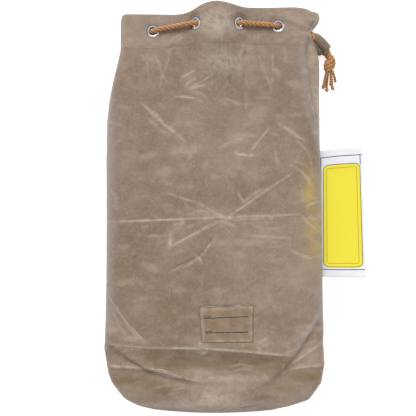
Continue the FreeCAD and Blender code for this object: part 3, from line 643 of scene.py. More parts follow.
# The heights of the back and the front layer, and the fold that ends the front layer: its x and its drop.
FLOOR_GAP = [(-446, 17), (-441, 9), (-430, 3), (-415, 0.8), (-395, 0), (120, 0), (234, 4.2), (300, 14), (420, 14)]
PLATEAU = [
    (-446, 22), (-443, 28), (-438, 33), (-430, 37.5), (-418, 41), (-404, 43.2), (-385, 44), (120, 44), (234, 45.2),
    (300, 48), (420, 48),
]
FOLD_EDGE = [
    (118, 240), (138, 231), (180, 221), (234, 209), (280, 201), (322, 196), (350, 196), (377, 203), (384, 212),
]
FOLD_DROP = [(112, 0), (160, 6), (200, 9), (260, 11), (330, 12), (372, 12), (384, 4), (392, 0)]
# The hump of the gathered front hem between its second and third eyelets: its height for each x.
HUMP = [(-78, 0), (-62, 3), (-31.5, 28.5), (-18, 34.5), (4, 36.5), (26, 34.5), (39.5, 28.5), (70, 3), (86, 0)]

# Where the base's folds run across the front: each is the height of the line for each x.
BASE_RIDGE = [(-240, -297), (-152, -309), (-60, -310), (-19, -311), (60, -316), (165, -326), (200, -331)]
LEFT_FOLD = [
    (-245, -296), (-228, -304), (-192, -331), (-150, -357), (-102, -372), (-60, -379), (-27, -383), (0, -386),
]
RIGHT_FOLD = [
    (60, -415), (82, -405), (110, -385), (143, -361), (173, -326), (196, -294), (216, -262), (235, -229), (245, -210),
]

# Soft ridges and grooves: height, width, then the line's points as x, y, x, y and so on.
RIDGES = [
    (3.2, 6, -236, -349, -190, -352, -152, -355, -118, -360, -98, -366), (1.6, 5, -100, -372, -70, -376, -30, -383),
    (2.6, 6, 234, -298, 200, -322, 163, -348), (2.8, 6, 237, -345, 200, -348, 165, -356),
    (2.2, 6, 80, 342, 92, 305, 108, 265), (2, 5, 124, 355, 125, 330, 123, 300), (2, 6, 56, 345, 57, 300, 55, 261),
    (1.6, 7, 27, 300, 28, 240, 26, 190), (1.8, 6, -108, 345, -96, 320, -84, 285),
    (1.4, 6, -150, 345, -146, 310, -150, 280), (1.8, 7, 10, 400, -6, 425, 0, 448), (1.4, 5, 95, 352, 92, 372),
    (1.2, 5, 152, 352, 150, 378), (1.6, 7, -60, 372, -85, 362, -112, 352), (2.4, 6, 204, 386, 180, 402, 150, 414),
    (2, 6, 206, 379, 176, 376, 150, 366), (2, 5, 208, 392, 205, 412, 196, 428),
]
GROOVES = [
    (2.4, 4, 1, -61, -38, -112, -102, -140), (1.2, 5, 86, -149, 187, -155),
    (1.2, 5, -228, -196, -200, -250, -152, -293), (2, 5, 60, -395, 84, -412, 90, -440),
    (2, 12, -190, -376, -160, -388, -120, -396), (1.6, 14, -80, -405, -20, -412, 40, -410),
    (1.8, 12, 120, -395, 160, -390, 196, -376), (1.4, 7, 22, 345, 40, 300, 41, 240),
    (1.4, 7, -125, 345, -122, 310, -115, 280),
]

# The eyelets' seats: centre and normal.
LEAN = math.radians(40)
SEATS = [
    ((-137, 385, 48), (0, 0, 1)),
    ((-43.5, 401, 61.5), (-math.sin(LEAN), 0, math.cos(LEAN))),
    ((51.5, 401, 61.5), (math.sin(LEAN), 0, math.cos(LEAN))),
    ((137, 396, 48), (0, 0, 1)),
]
BACK_SEATS = [(x, 396, 14) for x in (142, 62, -18, -98, -178)]
SEAT_FLAT, SEAT_FADE = 15.5, 25.0
HOLE_CUT, HOLE_EDGE, HOLE_REACH = 10.6, 11.4, 8.0
HOLES_ABOVE = 360.0

BASE_Y = -240.0
BASE_DISC = (151.5, 153.5)  # the back layer is set in inside this radius
CLOTH_THICK, HEM_EXTRA, HEM_FROM = 1.2, 1.4, 350.0

# Cells across the front, round each side and across the back.
NF, NR, NB = 150, 14, 50


def along_line(x, y, route):
    """The distance to a line through points, and how far along it the nearest place is, from 0 to 1."""
    points = np.reshape(route, (-1, 2)).astype(float)
    steps = np.linalg.norm(np.diff(points, axis=0), axis=1)
    before = np.concatenate([[0], np.cumsum(steps)])
    best, place = np.full(np.shape(x), 1e9), np.zeros(np.shape(x))
    for a, b, size, start in zip(points[:-1], points[1:], steps, before):
        share = np.clip(((x - a[0]) * (b[0] - a[0]) + (y - a[1]) * (b[1] - a[1])) / size**2, 0, 1)
        distance = np.hypot(x - a[0] - share * (b[0] - a[0]), y - a[1] - share * (b[1] - a[1]))
        closer = distance < best
        best = np.where(closer, distance, best)
        place = np.where(closer, (start + share * size) / before[-1], place)
    return best, place


def taper_ends(place, share=0.15):
    return smooth(0, share, place) * (1 - smooth(1 - share, 1, place))


def drawn(x, y, lines, least):
    """Each line's height or strength at x, y, which falls to the share least at its ends."""
    for height, width, *route in lines:
        distance, place = along_line(x, y, route)
        yield height * gauss(distance, width) * (least + (1 - least) * taper_ends(place))


def relief(x, y):
    """How far the front layer stands above or below its level, from its folds and creases."""
    out = 2.0 * bump_noise(x, y, 110, 3.3) + 1.5 * bump_noise(x, y, 42, 8.1) + 0.55 * bump_noise(x, y, 17, 5.7)
    # the front layer ends in a fold, with the side of the sack lower beyond it
    out -= knots(FOLD_DROP, y) * smooth(-2, 12, x - knots(FOLD_EDGE, y))
    # the base folds up under the front: a crest across it, then a hollow
    below = knots(BASE_RIDGE, x) - y
    reach = smooth(-245, -130, x) * (1 - smooth(150, 196, x)) * 0.75 + 0.25 * (1 - smooth(150, 190, x))
    dip = 2.8 * gauss(below, 4) - 7.0 * smooth(0, 30, below) * (1 - smooth(48, 90, below))
    out += np.where(below < 0, 2.8 * gauss(below, 20), dip) * reach
    # the two corners of the base lie lower than the front, past a sharp edge each
    left = (knots(LEFT_FOLD, x) - y) * 0.86
    out -= np.interp(x, [-245, -150, -80, -20, 5], [5.5, 6.5, 5, 1.5, 0]) * smooth(-2, 8, left)
    out += 1.5 * gauss(left + 5, 6) * (1 - smooth(-60, 0, x))
    right = (knots(RIGHT_FOLD, x) - y) * 0.72
    out -= np.interp(x, [70, 100, 145, 190, 212, 238], [0, 2, 4.5, 5, 4, 1]) * smooth(-3, 11, right)
    out += 1.6 * gauss(right + 8, 8) * smooth(80, 130, x)
    # the corners fill out again towards the foot
    foot = 5.0 * smooth(-430, -395, y)
    out += foot * (smooth(14, 60, left) * (1 - smooth(-70, 10, x)) + smooth(14, 70, right) * smooth(80, 150, x))
    out += sum(drawn(x, y, RIDGES, 0.4)) - sum(drawn(x, y, GROOVES, 0.3))
    # the hem is two layers above its stitching, which draws the cloth in
    hem = y - knots(HEM_STITCH, x)
    return out + 0.5 * smooth(-1, 3, hem) - 0.55 * gauss(hem, 2.6)


def seated(x, y, z):
    """Draws the cloth flat round each front eyelet, to just under its flange."""
    for centre, normal in SEATS:
        plane = centre[2] - (normal[0] * (x - centre[0]) + normal[1] * (y - centre[1])) / normal[2] - 0.25 / normal[2]
        away = np.sqrt((x - centre[0]) ** 2 * (1 + (normal[0] / normal[2]) ** 2) + (y - centre[1]) ** 2)
        share = 1 - smooth(SEAT_FLAT, SEAT_FADE, away)
        z = z * (1 - share) + plane * share
    return z


def plan_y(x, row, rim):
    """Where a row of the cloth runs: it follows the rim at the top and the rounded foot below."""
    foot = 8.0 * (1 - (x / 136) ** 2).clip(0, 1) * (1 - smooth(FOOT, -398, row))
    return row + (rim - RIM) * smooth(352, RIM, row) - foot


def front(x, row):
    """The front layer's surface where its plan is x and its row is row."""
    y = plan_y(x, row, knots(FRONT_RIM, x, 4))
    hump = knots(HUMP, x, 4) * smooth(262, 392, y)
    z = knots(PLATEAU, row, 3) + hump + relief(x, y) * smooth(FOOT, -430, row)
    turned_over = 1.6 * smooth(414, RIM, row)
    return np.stack([x, y, seated(x, y, z) - turned_over], -1)


def rear(x, row):
    """The back layer's surface, which lies on the floor up to the neck."""
    y = plan_y(x, row, BACK_RIM)
    wave = 0.5 + 0.5 * bump_noise(x, y, 60, 1.9)
    near = sum(1 - smooth(16, 26, np.hypot(x - cx, y - cy)) for cx, cy, _ in BACK_SEATS)
    disc = 1 - smooth(*BASE_DISC, np.hypot(x, y - BASE_Y))
    z = knots(FLOOR_GAP, row, 3) + wave * (1 - np.clip(near, 0, 1)) * 0.9 + 1.6 * disc
    return np.stack([x, y, z], -1)


def rows():
    lower = FOOT + (np.linspace(0, 1, 44) ** 1.6) * (-368 - FOOT)
    return np.concatenate([lower, np.linspace(-368, 296, 226)[1:], np.linspace(296, RIM, 54)[1:]])


def sack_grid():
    """The outer face: for each row, the front from left to right, the right roll, the back and the left roll."""
    row = rows()
    if len(row) % 2 == 0:
        row = np.concatenate([row[:-1], [row[-1] - 0.01, row[-1]]])
    left, right = knots(LEFT_EDGE, row, 4), knots(RIGHT_EDGE, row, 3)
    left[-1], right[-1] = LEFT_EDGE[-1][1], RIGHT_EDGE[-1][1]
    high, low = knots(PLATEAU, row, 3), knots(FLOOR_GAP, row, 3)
    corner = knots([(-446, 1), (-400, 0.74), (-330, 0.74), (-260, 0.85), (-190, 1)], row, 12)
    round_left = np.maximum((high - low) / 2, 2.0) * np.minimum(1, corner + 0.08)
    round_right = np.maximum((high - knots(FOLD_DROP, row) - low) / 2, 2.0) * corner
    start, stop = left + round_left, right - round_right

    def layer(surface, first, last, count):
        x = first[:, None] + (last - first)[:, None] * np.linspace(0, 1, count + 1)[None, :]
        return surface(x, np.repeat(row[:, None], count + 1, 1))

    face, base = layer(front, start, stop, NF), layer(rear, stop, start, NB)
    angles = np.linspace(0, math.pi, NR + 1)[1:-1]

    def roll(top, bottom, reach, sign):
        share = (1 - np.cos(angles))[None, :, None] / 2
        out = top[:, None] * (1 - share) + bottom[:, None] * share
        out[..., 0] += sign * reach[:, None] * np.sin(angles)
        return out

    right_roll = roll(face[:, -1], base[:, 0], round_right, 1)
    left_roll = roll(face[:, 0], base[:, -1], round_left, -1)[:, ::-1]
    return np.concatenate([face, right_roll, base, left_roll], 1), row


def near_seat(point):
    """The centre and axis of the eyelet whose hole takes in a point of the cloth."""
    for centre, axis in SEATS + [(centre, (0, 0, -1.0)) for centre in BACK_SEATS]:
        centre, axis = np.array(centre, float), np.array(axis, float)
        away = point - centre
        lift = away @ axis
        if np.linalg.norm(away - axis * lift) < HOLE_CUT and abs(lift) < HOLE_REACH:
            return centre, axis
    return None


def zip_rows(top, bottom, where):
    """Triangles that join two rows of vertices, from left to right."""
    faces = []
    i = j = 0
    while i < len(top) - 1 or j < len(bottom) - 1:
        if j == len(bottom) - 1 or (i < len(top) - 1 and where[top[i + 1]] <= where[bottom[j + 1]]):
            faces.append((top[i], top[i + 1], bottom[j]))
            i += 1
        else:
            faces.append((top[i], bottom[j + 1], bottom[j]))
            j += 1
    return faces


def zip_foot(index, points, turn, split):
    """Closes the first row of the sack, whose front half goes before split and whose back half after it."""
    order = np.roll(np.arange(index.shape[1]), turn)
    numbers = index[0][order]
    where = dict(zip(numbers.tolist(), points[0, order, 0]))
    return zip_rows(numbers[:split].tolist(), numbers[split:][::-1].tolist(), where)


BLOCK_CORNERS = ((0, 0), (0, 1), (1, 1), (1, 0))
BLOCK_SIDES = ((-1, 0), (0, 1), (1, 0), (0, -1))


def make_sack():
    """The cloth as one closed skin, with fewer cells inside. Blocks of two by two cells open at the eyelets."""
    grid, row = sack_grid()
    around = np.roll(grid, -1, 1) - np.roll(grid, 1, 1)
    normal = unit(np.cross(around, np.gradient(grid, axis=0)))
    if normal[len(row) // 2, NF // 2, 2] < 0:
        normal = -normal
    count_v, count_u = grid.shape[:2]
    block_v, block_u = (count_v - 1) // 2, count_u // 2
    holes = {}
    for i in np.where(grid[: 2 * block_v : 2, 0, 1] >= HOLES_ABOVE)[0]:
        for j in range(block_u):
            found = near_seat(grid[2 * i + 1, 2 * j + 1])
            if found:
                holes[i, j] = found
    kept = np.ones((block_v, block_u), bool)
    kept[tuple(np.transpose(list(holes)))] = False
    outside = closed(np.arange(count_v * count_u).reshape(count_v, count_u))
    skin = cells(outside)[np.kron(kept, np.ones((2, 2))) > 0]
    flat_grid = grid.reshape(-1, 3)
    on_skin = np.zeros(len(flat_grid), bool)
    on_skin[skin] = True
    rim = {}
    for (i, j), seat in holes.items():
        corners = outside[2 * i : 2 * i + 3, 2 * j : 2 * j + 3].ravel()
        rim.update((number, seat) for number in corners if on_skin[number])
    for number, (centre, axis) in rim.items():
        away = flat_grid[number] - centre
        lift = axis * (away @ axis)
        flat_grid[number] = centre + unit(away - lift) * HOLE_EDGE + lift
    thick = CLOTH_THICK + HEM_EXTRA * smooth(-1.0, 1.5, row - HEM_FROM)
    inner = (grid - normal * thick[:, None, None])[::2, ::2]
    inside = closed(count_v * count_u + np.arange(inner[..., 0].size).reshape(inner.shape[:2]))
    faces = skin.tolist() + cells(inside)[kept][:, [0, 3, 2, 1]].tolist()
    # a wall closes the cloth's edge wherever a block ends at a hole or at the rim
    for i, j in np.argwhere(kept):
        for (a, b), (c, d), (di, dj) in zip(BLOCK_CORNERS, BLOCK_CORNERS[1:] + BLOCK_CORNERS[:1], BLOCK_SIDES):
            if i + di == block_v or (i + di, (j + dj) % block_u) in holes:
                faces.append((
                    outside[2 * (i + a), 2 * (j + b)], inside[i + a, j + b], inside[i + c, j + d],
                    outside[2 * (i + c), 2 * (j + d)], outside[2 * i + a + c, 2 * j + b + d],
                ))
    split = NF + 2 * (NR // 2)
    faces += [face[::-1] for face in zip_foot(outside[:, :-1], grid, NR // 2 - 1, split)]
    faces += zip_foot(inside[:, :-1], inner, (NR // 2 - 1) // 2, split // 2)
    vertices = np.concatenate([flat_grid, inner.reshape(-1, 3)])
    used = np.zeros(len(vertices), bool)
    for face in faces:
        used[list(face)] = True
    renumber = np.cumsum(used) - 1
    made = mesh_object("sack_cloth", vertices[used], [renumber[list(face)] for face in faces], SACK)
    return made, vertices[used], normal, grid


sack, sack_points, sack_normals, outer = make_sack()


# ---------------------------------------------------------------- marks, painted light and painted shade on the cloth

# Sharp lines of pale worn wax and painted crest highlights, and dark edges of painted shade at folds, creases and the
# patch's edge: x and y of the start, of the end, half width, strength.
PALE_CREASES = [
    (-236, -33, 25, -23, 0.9, 0.8), (25, -23, 181, -17, 0.9, 0.65), (-104, -90, 24, -25, 0.8, 0.62),
    (24, -25, 112, 36, 0.9, 0.75), (112, 36, 166, 73, 0.8, 0.5), (-106, 31, -38, 9, 0.8, 0.45),
    (-38, 9, 10, -20, 0.8, 0.4), (-163, 228, -112, 178, 1.1, 0.62), (-112, 178, -78, 152, 0.8, 0.45),
    (-146, 208, -118, 186, 0.9, 0.5), (76, 121, 118, 172, 0.8, 0.62), (42, 117, 86, 112, 1.2, 0.85),
    (136, 184, 196, 145, 0.9, 0.65), (148, 178, 170, 163, 1.6, 0.6), (-76, 282, -42, 300, 0.8, 0.7),
    (-68, 264, -38, 284, 0.8, 0.62), (-62, 256, 6, 298, 0.8, 0.65), (6, 298, 40, 318, 0.7, 0.4),
    (-91, 242, -42, 238, 1, 0.8), (-152, -309, -19, -311, 0.9, 0.85), (-19, -311, 165, -326, 0.9, 0.9),
    (-236, -300, -152, -309, 0.9, 0.5), (-233, -349, -152, -355, 0.9, 0.8), (-152, -352, -100, -361, 0.9, 0.7),
    (-100, -361, -84, -372, 0.8, 0.6), (-84, -372, -27, -385, 0.9, 0.6), (-136, -364, -96, -373, 0.8, 0.45),
    (163, -348, 233, -298, 0.8, 0.6), (165, -356, 237, -346, 0.9, 0.7), (-234, -196, -205, -240, 0.8, 0.7),
    (-205, -240, -152, -298, 0.8, 0.55), (70, -63, 162, -69, 0.9, 0.5), (1, -61, -37, -110, 0.8, 0.55),
    (-37, -110, -102, -142, 0.8, 0.5), (-46, -104, -28, -122, 0.9, 0.6), (165, -95, 212, -112, 0.8, 0.6),
    (212, -112, 234, -105, 0.8, 0.5), (196, 0, 230, 14, 0.9, 0.7), (-94, -42, -101, -92, 1.5, 0.55),
    (106, -18, 122, -20, 1.6, 0.5), (122, -20, 124, -34, 1.6, 0.45), (60, -36, 122, -34, 0.8, 0.35),
    (162, 92, 186, 80, 0.9, 0.55), (186, 80, 212, 44, 0.8, 0.5), (130, 122, 138, 94, 0.9, 0.5),
    (48, 34, 66, 10, 0.9, 0.5), (34, 142, 62, 153, 1.2, 0.45), (12, 131, 34, 142, 1.6, 0.42),
    (92, 346, 124, 256, 0.7, 0.4), (124, 345, 124, 262, 0.7, 0.4), (-8, 402, 8, 430, 0.7, 0.45),
    (66, 345, 68, 262, 0.7, 0.32), (88, -302, 116, -288, 1, 0.6), (-38, -317, -18, -317, 1.8, 0.75),
    (-134, 335, -104, 268, 0.8, 0.32), (84, -298, 104, -318, 0.9, 0.45), (-104, 118, -48, 121, 1.2, 0.35),
    (-46, 118, -42, 134, 1.4, 0.4), (20, 238, 60, 222, 1.2, 0.3), (92, 238, 126, 237, 0.8, 0.35),
    (-88, 148, -60, 128, 0.7, 0.3), (186, -16, 222, -52, 0.8, 0.4), (184, 56, 196, 8, 0.7, 0.32),
    (232, 134, 221, 180, 0.8, 0.5), (221, 180, 209, 234, 0.8, 0.55), (209, 234, 201, 280, 0.8, 0.5),
    (201, 280, 196, 330, 0.7, 0.45), (225, 414, 212, 396, 1.1, 0.75), (214, 399, 205, 386, 0.8, 0.55),
    (205, 428, 196, 414, 0.9, 0.4), (158, 428, 176, 432, 0.9, 0.45), (203, 330, 222, 329, 0.8, 0.4),
    (-100, 362, -70, 381, 0.9, 0.45), (-84, 354, -104, 340, 0.8, 0.4), (-202, 350, -130, 349, 0.7, 0.35),
    (-150, 345, -146, 276, 0.8, 0.3), (92, 356, 94, 380, 0.7, 0.35), (150, 356, 149, 380, 0.7, 0.3),
    (-152, -64, -94, -61, 0.8, 0.4), (20, -45, 38, -62, 0.7, 0.4),
]
EDGE_SHADE_LINES = [
    (-29.5, -297.8, 82, -296.3, 0.7, 0.45), (82.6, -296, 82.8, -212, 0.8, 0.75), (82.6, -212, -35, -217.6, 0.8, 0.6),
    (-35.6, -218, -30.2, -297, 0.7, 0.6), (-2, -64, -36, -108, 0.8, 0.6), (-40, -113, -84, -136, 0.8, 0.55),
    (-222, -308, -192, -334, 0.7, 0.45), (-192, -334, -150, -359, 0.9, 0.65), (-150, -359, -98, -370, 0.8, 0.6),
    (-98, -363, -80, -377, 0.7, 0.45), (-74, -372, -64, -379, 0.8, 0.6), (-100, -375, -50, -382, 0.8, 0.35),
    (232, -236, 216, -264, 0.7, 0.35), (216, -264, 175, -328, 0.8, 0.35), (175, -328, 144, -363, 0.8, 0.45),
    (144, -363, 100, -394, 0.8, 0.35), (52, -441, 92, -436, 0.9, 0.7), (150, 431, 204, 428, 0.7, 0.5),
    (-130, 346, -30, 356, 0.6, 0.4), (-30, 356.5, 60, 356.5, 0.6, 0.35), (60, 356, 200, 353, 0.6, 0.3),
    (-205, 345.5, -130, 346.5, 0.6, 0.25), (216, 406, 207, 391, 0.7, 0.5), (28, 340, 30, 262, 1, 0.3),
    (-62, 392, -76, 372, 1, 0.3), (-58, 424, -74, 416, 0.6, 0.4),
]

# Soft chalky lines with painted crest highlights, and dark lines of painted shade in creases and along folds: strength,
# width, then the line's points as x, y, x, y and so on.
CHALK_AND_HIGHLIGHT_LINES = [
    (0.75, 2, -236, -33, -160, -30, -80, -27, 25, -22, 100, -19, 181, -17),
    (0.55, 2.2, -104, -90, -60, -66, -10, -38, 24, -24), (0.6, 2.2, 20, -26, 60, 0, 110, 36, 165, 72),
    (0.45, 2.6, -106, 31, -70, 18, -38, 9, -8, -8, 10, -20), (0.75, 5, -12, -8, 6, -18, 24, -24, 50, -22),
    (0.55, 3.2, -163, 228, -138, 206, -112, 180, -80, 156, -62, 140), (0.45, 2.4, -132, 206, -112, 184),
    (0.28, 5, -104, 118, -60, 122, -44, 121, -44, 132), (0.38, 4.5, 12, 131, 34, 142, 62, 153),
    (0.5, 2.4, 76, 121, 96, 146, 118, 172), (0.65, 3.2, 42, 116, 62, 114, 86, 112), (0.6, 4, 42, 116, 50, 120),
    (0.6, 3.4, 136, 184, 154, 172, 176, 158, 196, 145), (0.45, 4, 148, 178, 166, 166),
    (0.45, 2.8, 130, 122, 134, 104, 138, 94), (0.55, 2.6, 162, 92, 176, 86, 186, 80, 202, 62, 210, 46),
    (0.25, 2.6, 196, 134, 210, 100, 214, 60), (0.45, 2.6, 48, 34, 54, 20, 66, 10),
    (0.5, 4.5, -94, -42, -98, -64, -101, -92), (0.4, 4.5, -94, -42, -80, -36, -66, -33),
    (0.5, 2.6, 70, -63, 110, -65, 162, -69), (0.5, 4, 106, -18, 118, -20, 122, -32),
    (0.28, 2.6, 60, -36, 100, -36, 122, -34), (0.32, 2.6, -152, -64, -120, -64, -94, -62),
    (0.45, 2.8, 1, -61, -14, -84, -36, -110, -68, -130, -102, -142), (0.6, 3.4, -46, -106, -36, -112, -30, -122),
    (0.55, 2.4, 196, 0, 212, 8, 228, 13), (0.5, 2.6, 165, -95, 190, -108, 210, -112, 232, -105),
    (0.35, 2.6, 186, -16, 204, -36, 222, -52), (0.55, 2.2, -76, 282, -58, 292, -42, 300),
    (0.5, 2.2, -68, 264, -52, 278, -38, 284), (0.5, 2.2, -62, 258, -30, 274, 6, 298, 40, 318),
    (0.6, 4, -60, 258, -44, 262, -20, 270), (0.6, 2.8, -91, 242, -66, 241, -42, 238), (0.3, 5, -42, 238, -24, 226),
    (0.25, 2.6, 92, 238, 112, 240, 126, 237), (0.28, 3.5, 20, 238, 44, 228, 60, 222),
    (0.45, 4, 132, 305, 136, 292, 138, 284), (0.3, 2.6, -134, 335, -122, 312, -118, 290, -104, 268),
    (0.3, 3, -100, 350, -104, 320, -118, 280, -122, 262), (0.28, 3, -68, 354, -80, 362, -70, 382),
    (0.28, 2.6, 66, 345, 66, 300, 70, 262), (0.34, 2.6, 92, 346, 104, 300, 118, 272, 124, 250),
    (0.34, 2.6, 124, 345, 126, 300, 123, 260), (0.4, 6, 98, 344, 112, 345), (0.22, 3, 150, 352, 154, 320),
    (0.34, 2.6, -8, 400, 2, 420, 8, 430), (0.28, 3, 4, 408, 10, 426), (0.3, 3, -100, 369, -84, 376, -68, 380),
    (0.24, 5, 180, 416, 190, 400), (0.45, 2.6, -238, -300, -190, -305, -152, -309),
    (0.75, 2.4, -152, -309, -60, -309.5, -19, -311, 60, -316, 165, -326),
    (0.65, 2.6, -233, -349, -190, -352, -152, -355),
    (0.38, 3, -152, -355, -118, -362, -98, -368, -60, -378, -20, -384), (0.45, 2.6, 163, -348, 200, -322, 232, -297),
    (0.55, 2.8, 165, -356, 200, -349, 236, -346), (0.42, 2.2, -234, -196, -205, -240, -176, -280, -152, -300),
    (0.25, 2.4, -226, -250, -206, -270), (0.65, 4, -40, -316, -26, -320, -18, -316), (0.55, 4, -38, -300, -28, -300),
    (0.55, 3.5, 84, -298, 100, -294, 116, -286), (0.4, 4, 88, -302, 96, -312, 104, -318),
    (0.35, 3.4, 100, -304, 118, -302), (0.28, 6, 120, -226, 132, -214, 140, -208),
    (0.22, 4, -226, -4, -218, 2, -214, -10), (0.3, 3, -160, -45, -150, -44, -158, -50),
    (0.26, 3, 150, -345, 148, -372), (0.22, 3, -60, -404, -10, -396, 60, -404),
    (0.22, 3, -150, -402, -110, -392, -60, -390), (0.22, 2.6, 60, -352, 90, -360, 118, -384),
    (0.4, 1.7, 28, -352, 56, -345, 84, -352), (0.36, 1.7, 34, -362, 60, -355, 90, -363),
    (0.3, 2, 20, -372, 50, -368, 84, -376), (0.35, 2, 100, -358, 112, -372, 118, -386),
    (0.34, 1.8, -96, -402, -66, -396, -40, -404), (0.3, 2, -120, -420, -100, -412, -80, -408),
    (0.3, 2.4, -60, -428, -30, -424, 20, -428), (0.36, 2.4, -30, -376, 10, -372, 40, -380),
    (0.34, 2.4, 90, -430, 110, -424, 140, -428), (0.24, 2.4, -204, -392, -180, -404, -150, -418),
    (0.34, 3, -210, -320, -190, -312, -160, -311), (0.3, 3, 150, -322, 190, -306, 226, -290),
    (0.3, 2.6, -225, -226, -210, -262, -190, -290), (0.34, 4, 56, 6, 80, 26, 104, 40),
    (0.45, 4, 0, -30, 24, -34, 46, -44), (0.4, 3.4, 30, -30, 70, -26, 118, -24),
    (0.3, 3.4, -20, -30, -60, -44, -100, -50), (0.26, 2.6, 24, -50, 30, -70, 36, -86),
    (0.3, 3.4, -70, -20, -30, -8, 0, -14), (0.3, 3, 80, -40, 116, -48, 150, -46),
    (0.26, 2.6, 90, -84, 120, -88, 150, -86), (0.3, 2.4, 150, -60, 158, -76, 166, -86),
    (0.32, 3.4, -150, 196, -120, 168, -100, 158), (0.32, 3.4, -60, 128, -52, 112, -60, 104),
    (0.3, 5, 40, 150, 70, 158, 96, 152), (0.3, 5, -14, 232, -34, 250, -60, 254),
    (0.32, 3, -30, 262, -10, 270, 20, 292), (0.24, 3, 66, 262, 68, 230, 64, 206),
    (0.26, 3, 186, 250, 198, 220, 208, 180), (0.34, 3, 176, 150, 196, 128, 210, 104),
    (0.34, 2.4, 168, 100, 190, 96, 206, 84), (0.34, 2.4, 198, 30, 212, 18, 226, 20),
    (0.36, 2.4, 190, -30, 210, -22, 226, -30), (0.34, 2.6, 196, -60, 212, -74, 228, -78),
    (0.26, 3, -232, 40, -216, 20, -220, 0), (0.2, 3, -226, 130, -206, 150, -196, 180),
    (0.34, 4, 120, 300, 134, 300, 142, 290),
]
CREASE_SHADE_LINES = [
    (0.5, 2, -8, -66, -30, -98, -48, -116, -86, -136), (0.34, 4, 28, 285, 28, 240, 22, 200),
    (0.3, 5, 198, 372, 196, 330, 203, 290), (0.35, 2.4, 84, -150, 130, -154, 187, -157),
    (0.3, 3, -216, -312, -192, -335, -150, -361, -102, -375), (0.16, 3.2, 86, -408, 143, -366, 176, -330, 216, -268),
    (0.5, 1.6, -78, -412, -50, -411, -26, -416), (0.45, 1.6, -70, -418, -40, -419, -16, -421),
    (0.35, 1.6, -86, -406, -60, -403, -30, -406), (0.45, 4, 96, -402, 110, -412, 122, -420),
    (0.4, 5, 64, -404, 76, -416, 88, -424), (0.35, 4, 212, 374, 202, 340, 201, 316, 214, 240, 232, 150),
]

# Soft blots, olive for grime and painted shade in hollows, pale for wear and painted light on slopes turned from the
# light: x and y of the centre, spread both ways, share.
SHADE_AND_GRIME_BLOTS = [
    (-92, -346, 46, 14, 1), (10, -346, 60, 14, 0.8), (84, -344, 46, 12, 0.9), (-60, -300, 110, 8, 0.55),
    (70, -308, 90, 6, 0.45), (-192, -382, 46, 18, 1), (-126, -400, 44, 15, 0.9), (200, -374, 36, 14, 0.9),
    (146, -396, 44, 13, 0.9), (106, -420, 30, 9, 0.9), (0, -150, 240, 110, 0.16), (200, 60, 40, 160, 0.22),
    (215, -170, 24, 70, 0.25), (-30, 372, 40, 14, 0.3), (-60, -404, 60, 8, 0.4), (60, -408, 30, 8, 0.4),
    (-100, -230, 150, 70, 0.22), (150, -220, 60, 80, 0.2), (-120, 390, 60, 24, 0.2), (30, 220, 40, 60, 0.22),
    (-60, -292, 120, 10, 0.2), (130, 250, 50, 90, 0.22), (-180, 60, 50, 60, 0.16), (-130, -340, 40, 8, 0.3),
]
# pale wear, with painted light on the hem's hump and its slope and on the base's lower band
PAINTED_LIGHT_AND_PALE_BLOTS = [
    (20, 318, 62, 34, 0.62), (60, 348, 30, 24, 0.35), (2, 396, 46, 44, 0.62), (-30, -362, 50, 9, 0.3),
    (20, -378, 60, 8, 0.3), (0, -418, 62, 24, 0.55), (-20, -432, 120, 12, 0.45), (150, -420, 40, 14, 0.2),
    (-160, -412, 40, 12, 0.2), (-66, 126, 34, 10, 0.24), (46, 148, 26, 9, 0.22), (0, -18, 40, 14, 0.26),
    (-50, 262, 22, 12, 0.25), (170, -150, 50, 30, 0.16), (120, -210, 36, 26, 0.22), (106, -300, 22, 14, 0.26),
    (-30, -306, 18, 12, 0.24), (-180, 140, 26, 40, 0.1), (180, 410, 30, 14, 0.22), (-20, -380, 60, 10, 0.16),
    (-200, -330, 24, 14, 0.18), (206, -320, 22, 18, 0.22), (100, 344, 14, 12, 0.24),
]


def crease_field(x, y, lines):
    """For each place, the nearest line's signed distance, strength and reach, which stay exact between vertices."""
    best = np.full(len(x), 9.0)
    out = np.zeros((len(x), 3))
    out[:, 0], out[:, 2] = 0.02, 0.002
    for x0, y0, x1, y1, half_width, strength in lines:
        size = np.hypot(x1 - x0, y1 - y0)
        run_x, run_y = (x1 - x0) / size, (y1 - y0) / size
        along = (x - x0) * run_x + (y - y0) * run_y
        across = (x - x0) * run_y - (y - y0) * run_x
        over = np.maximum(np.maximum(-along, along - size), 0)
        away = np.hypot(across, over)
        closer = away < best
        best = np.where(closer, away, best)
        fade = strength * (1 - smooth(4.5, 8, away)) * (1 - smooth(0, 3, over))
        fade *= 0.45 + 0.55 * taper_ends(along / size, 0.2)
        for column, value in enumerate((across * MM, fade, half_width * 2.2 * MM + np.zeros(len(x)))):
            out[:, column] = np.where(closer, value, out[:, column])
    return out


def strongest(*fields):
    return reduce(np.maximum, fields)


def blots(x, y, table):
    return (share * gauss(np.hypot((x - cx) / wide, (y - cy) / tall), 1.0) for cx, cy, wide, tall, share in table)


def pale_lines(x, y, lines):
    fray = 1 + 0.5 * bump_noise(x, y, 14, 2.2)
    for strength, width, *route in lines:
        distance, place = along_line(x, y, route)
        line = strength * gauss(distance, width * fray) * (0.35 + 0.65 * taper_ends(place, 0.2))
        yield np.where(distance < width * 4, line, 0)


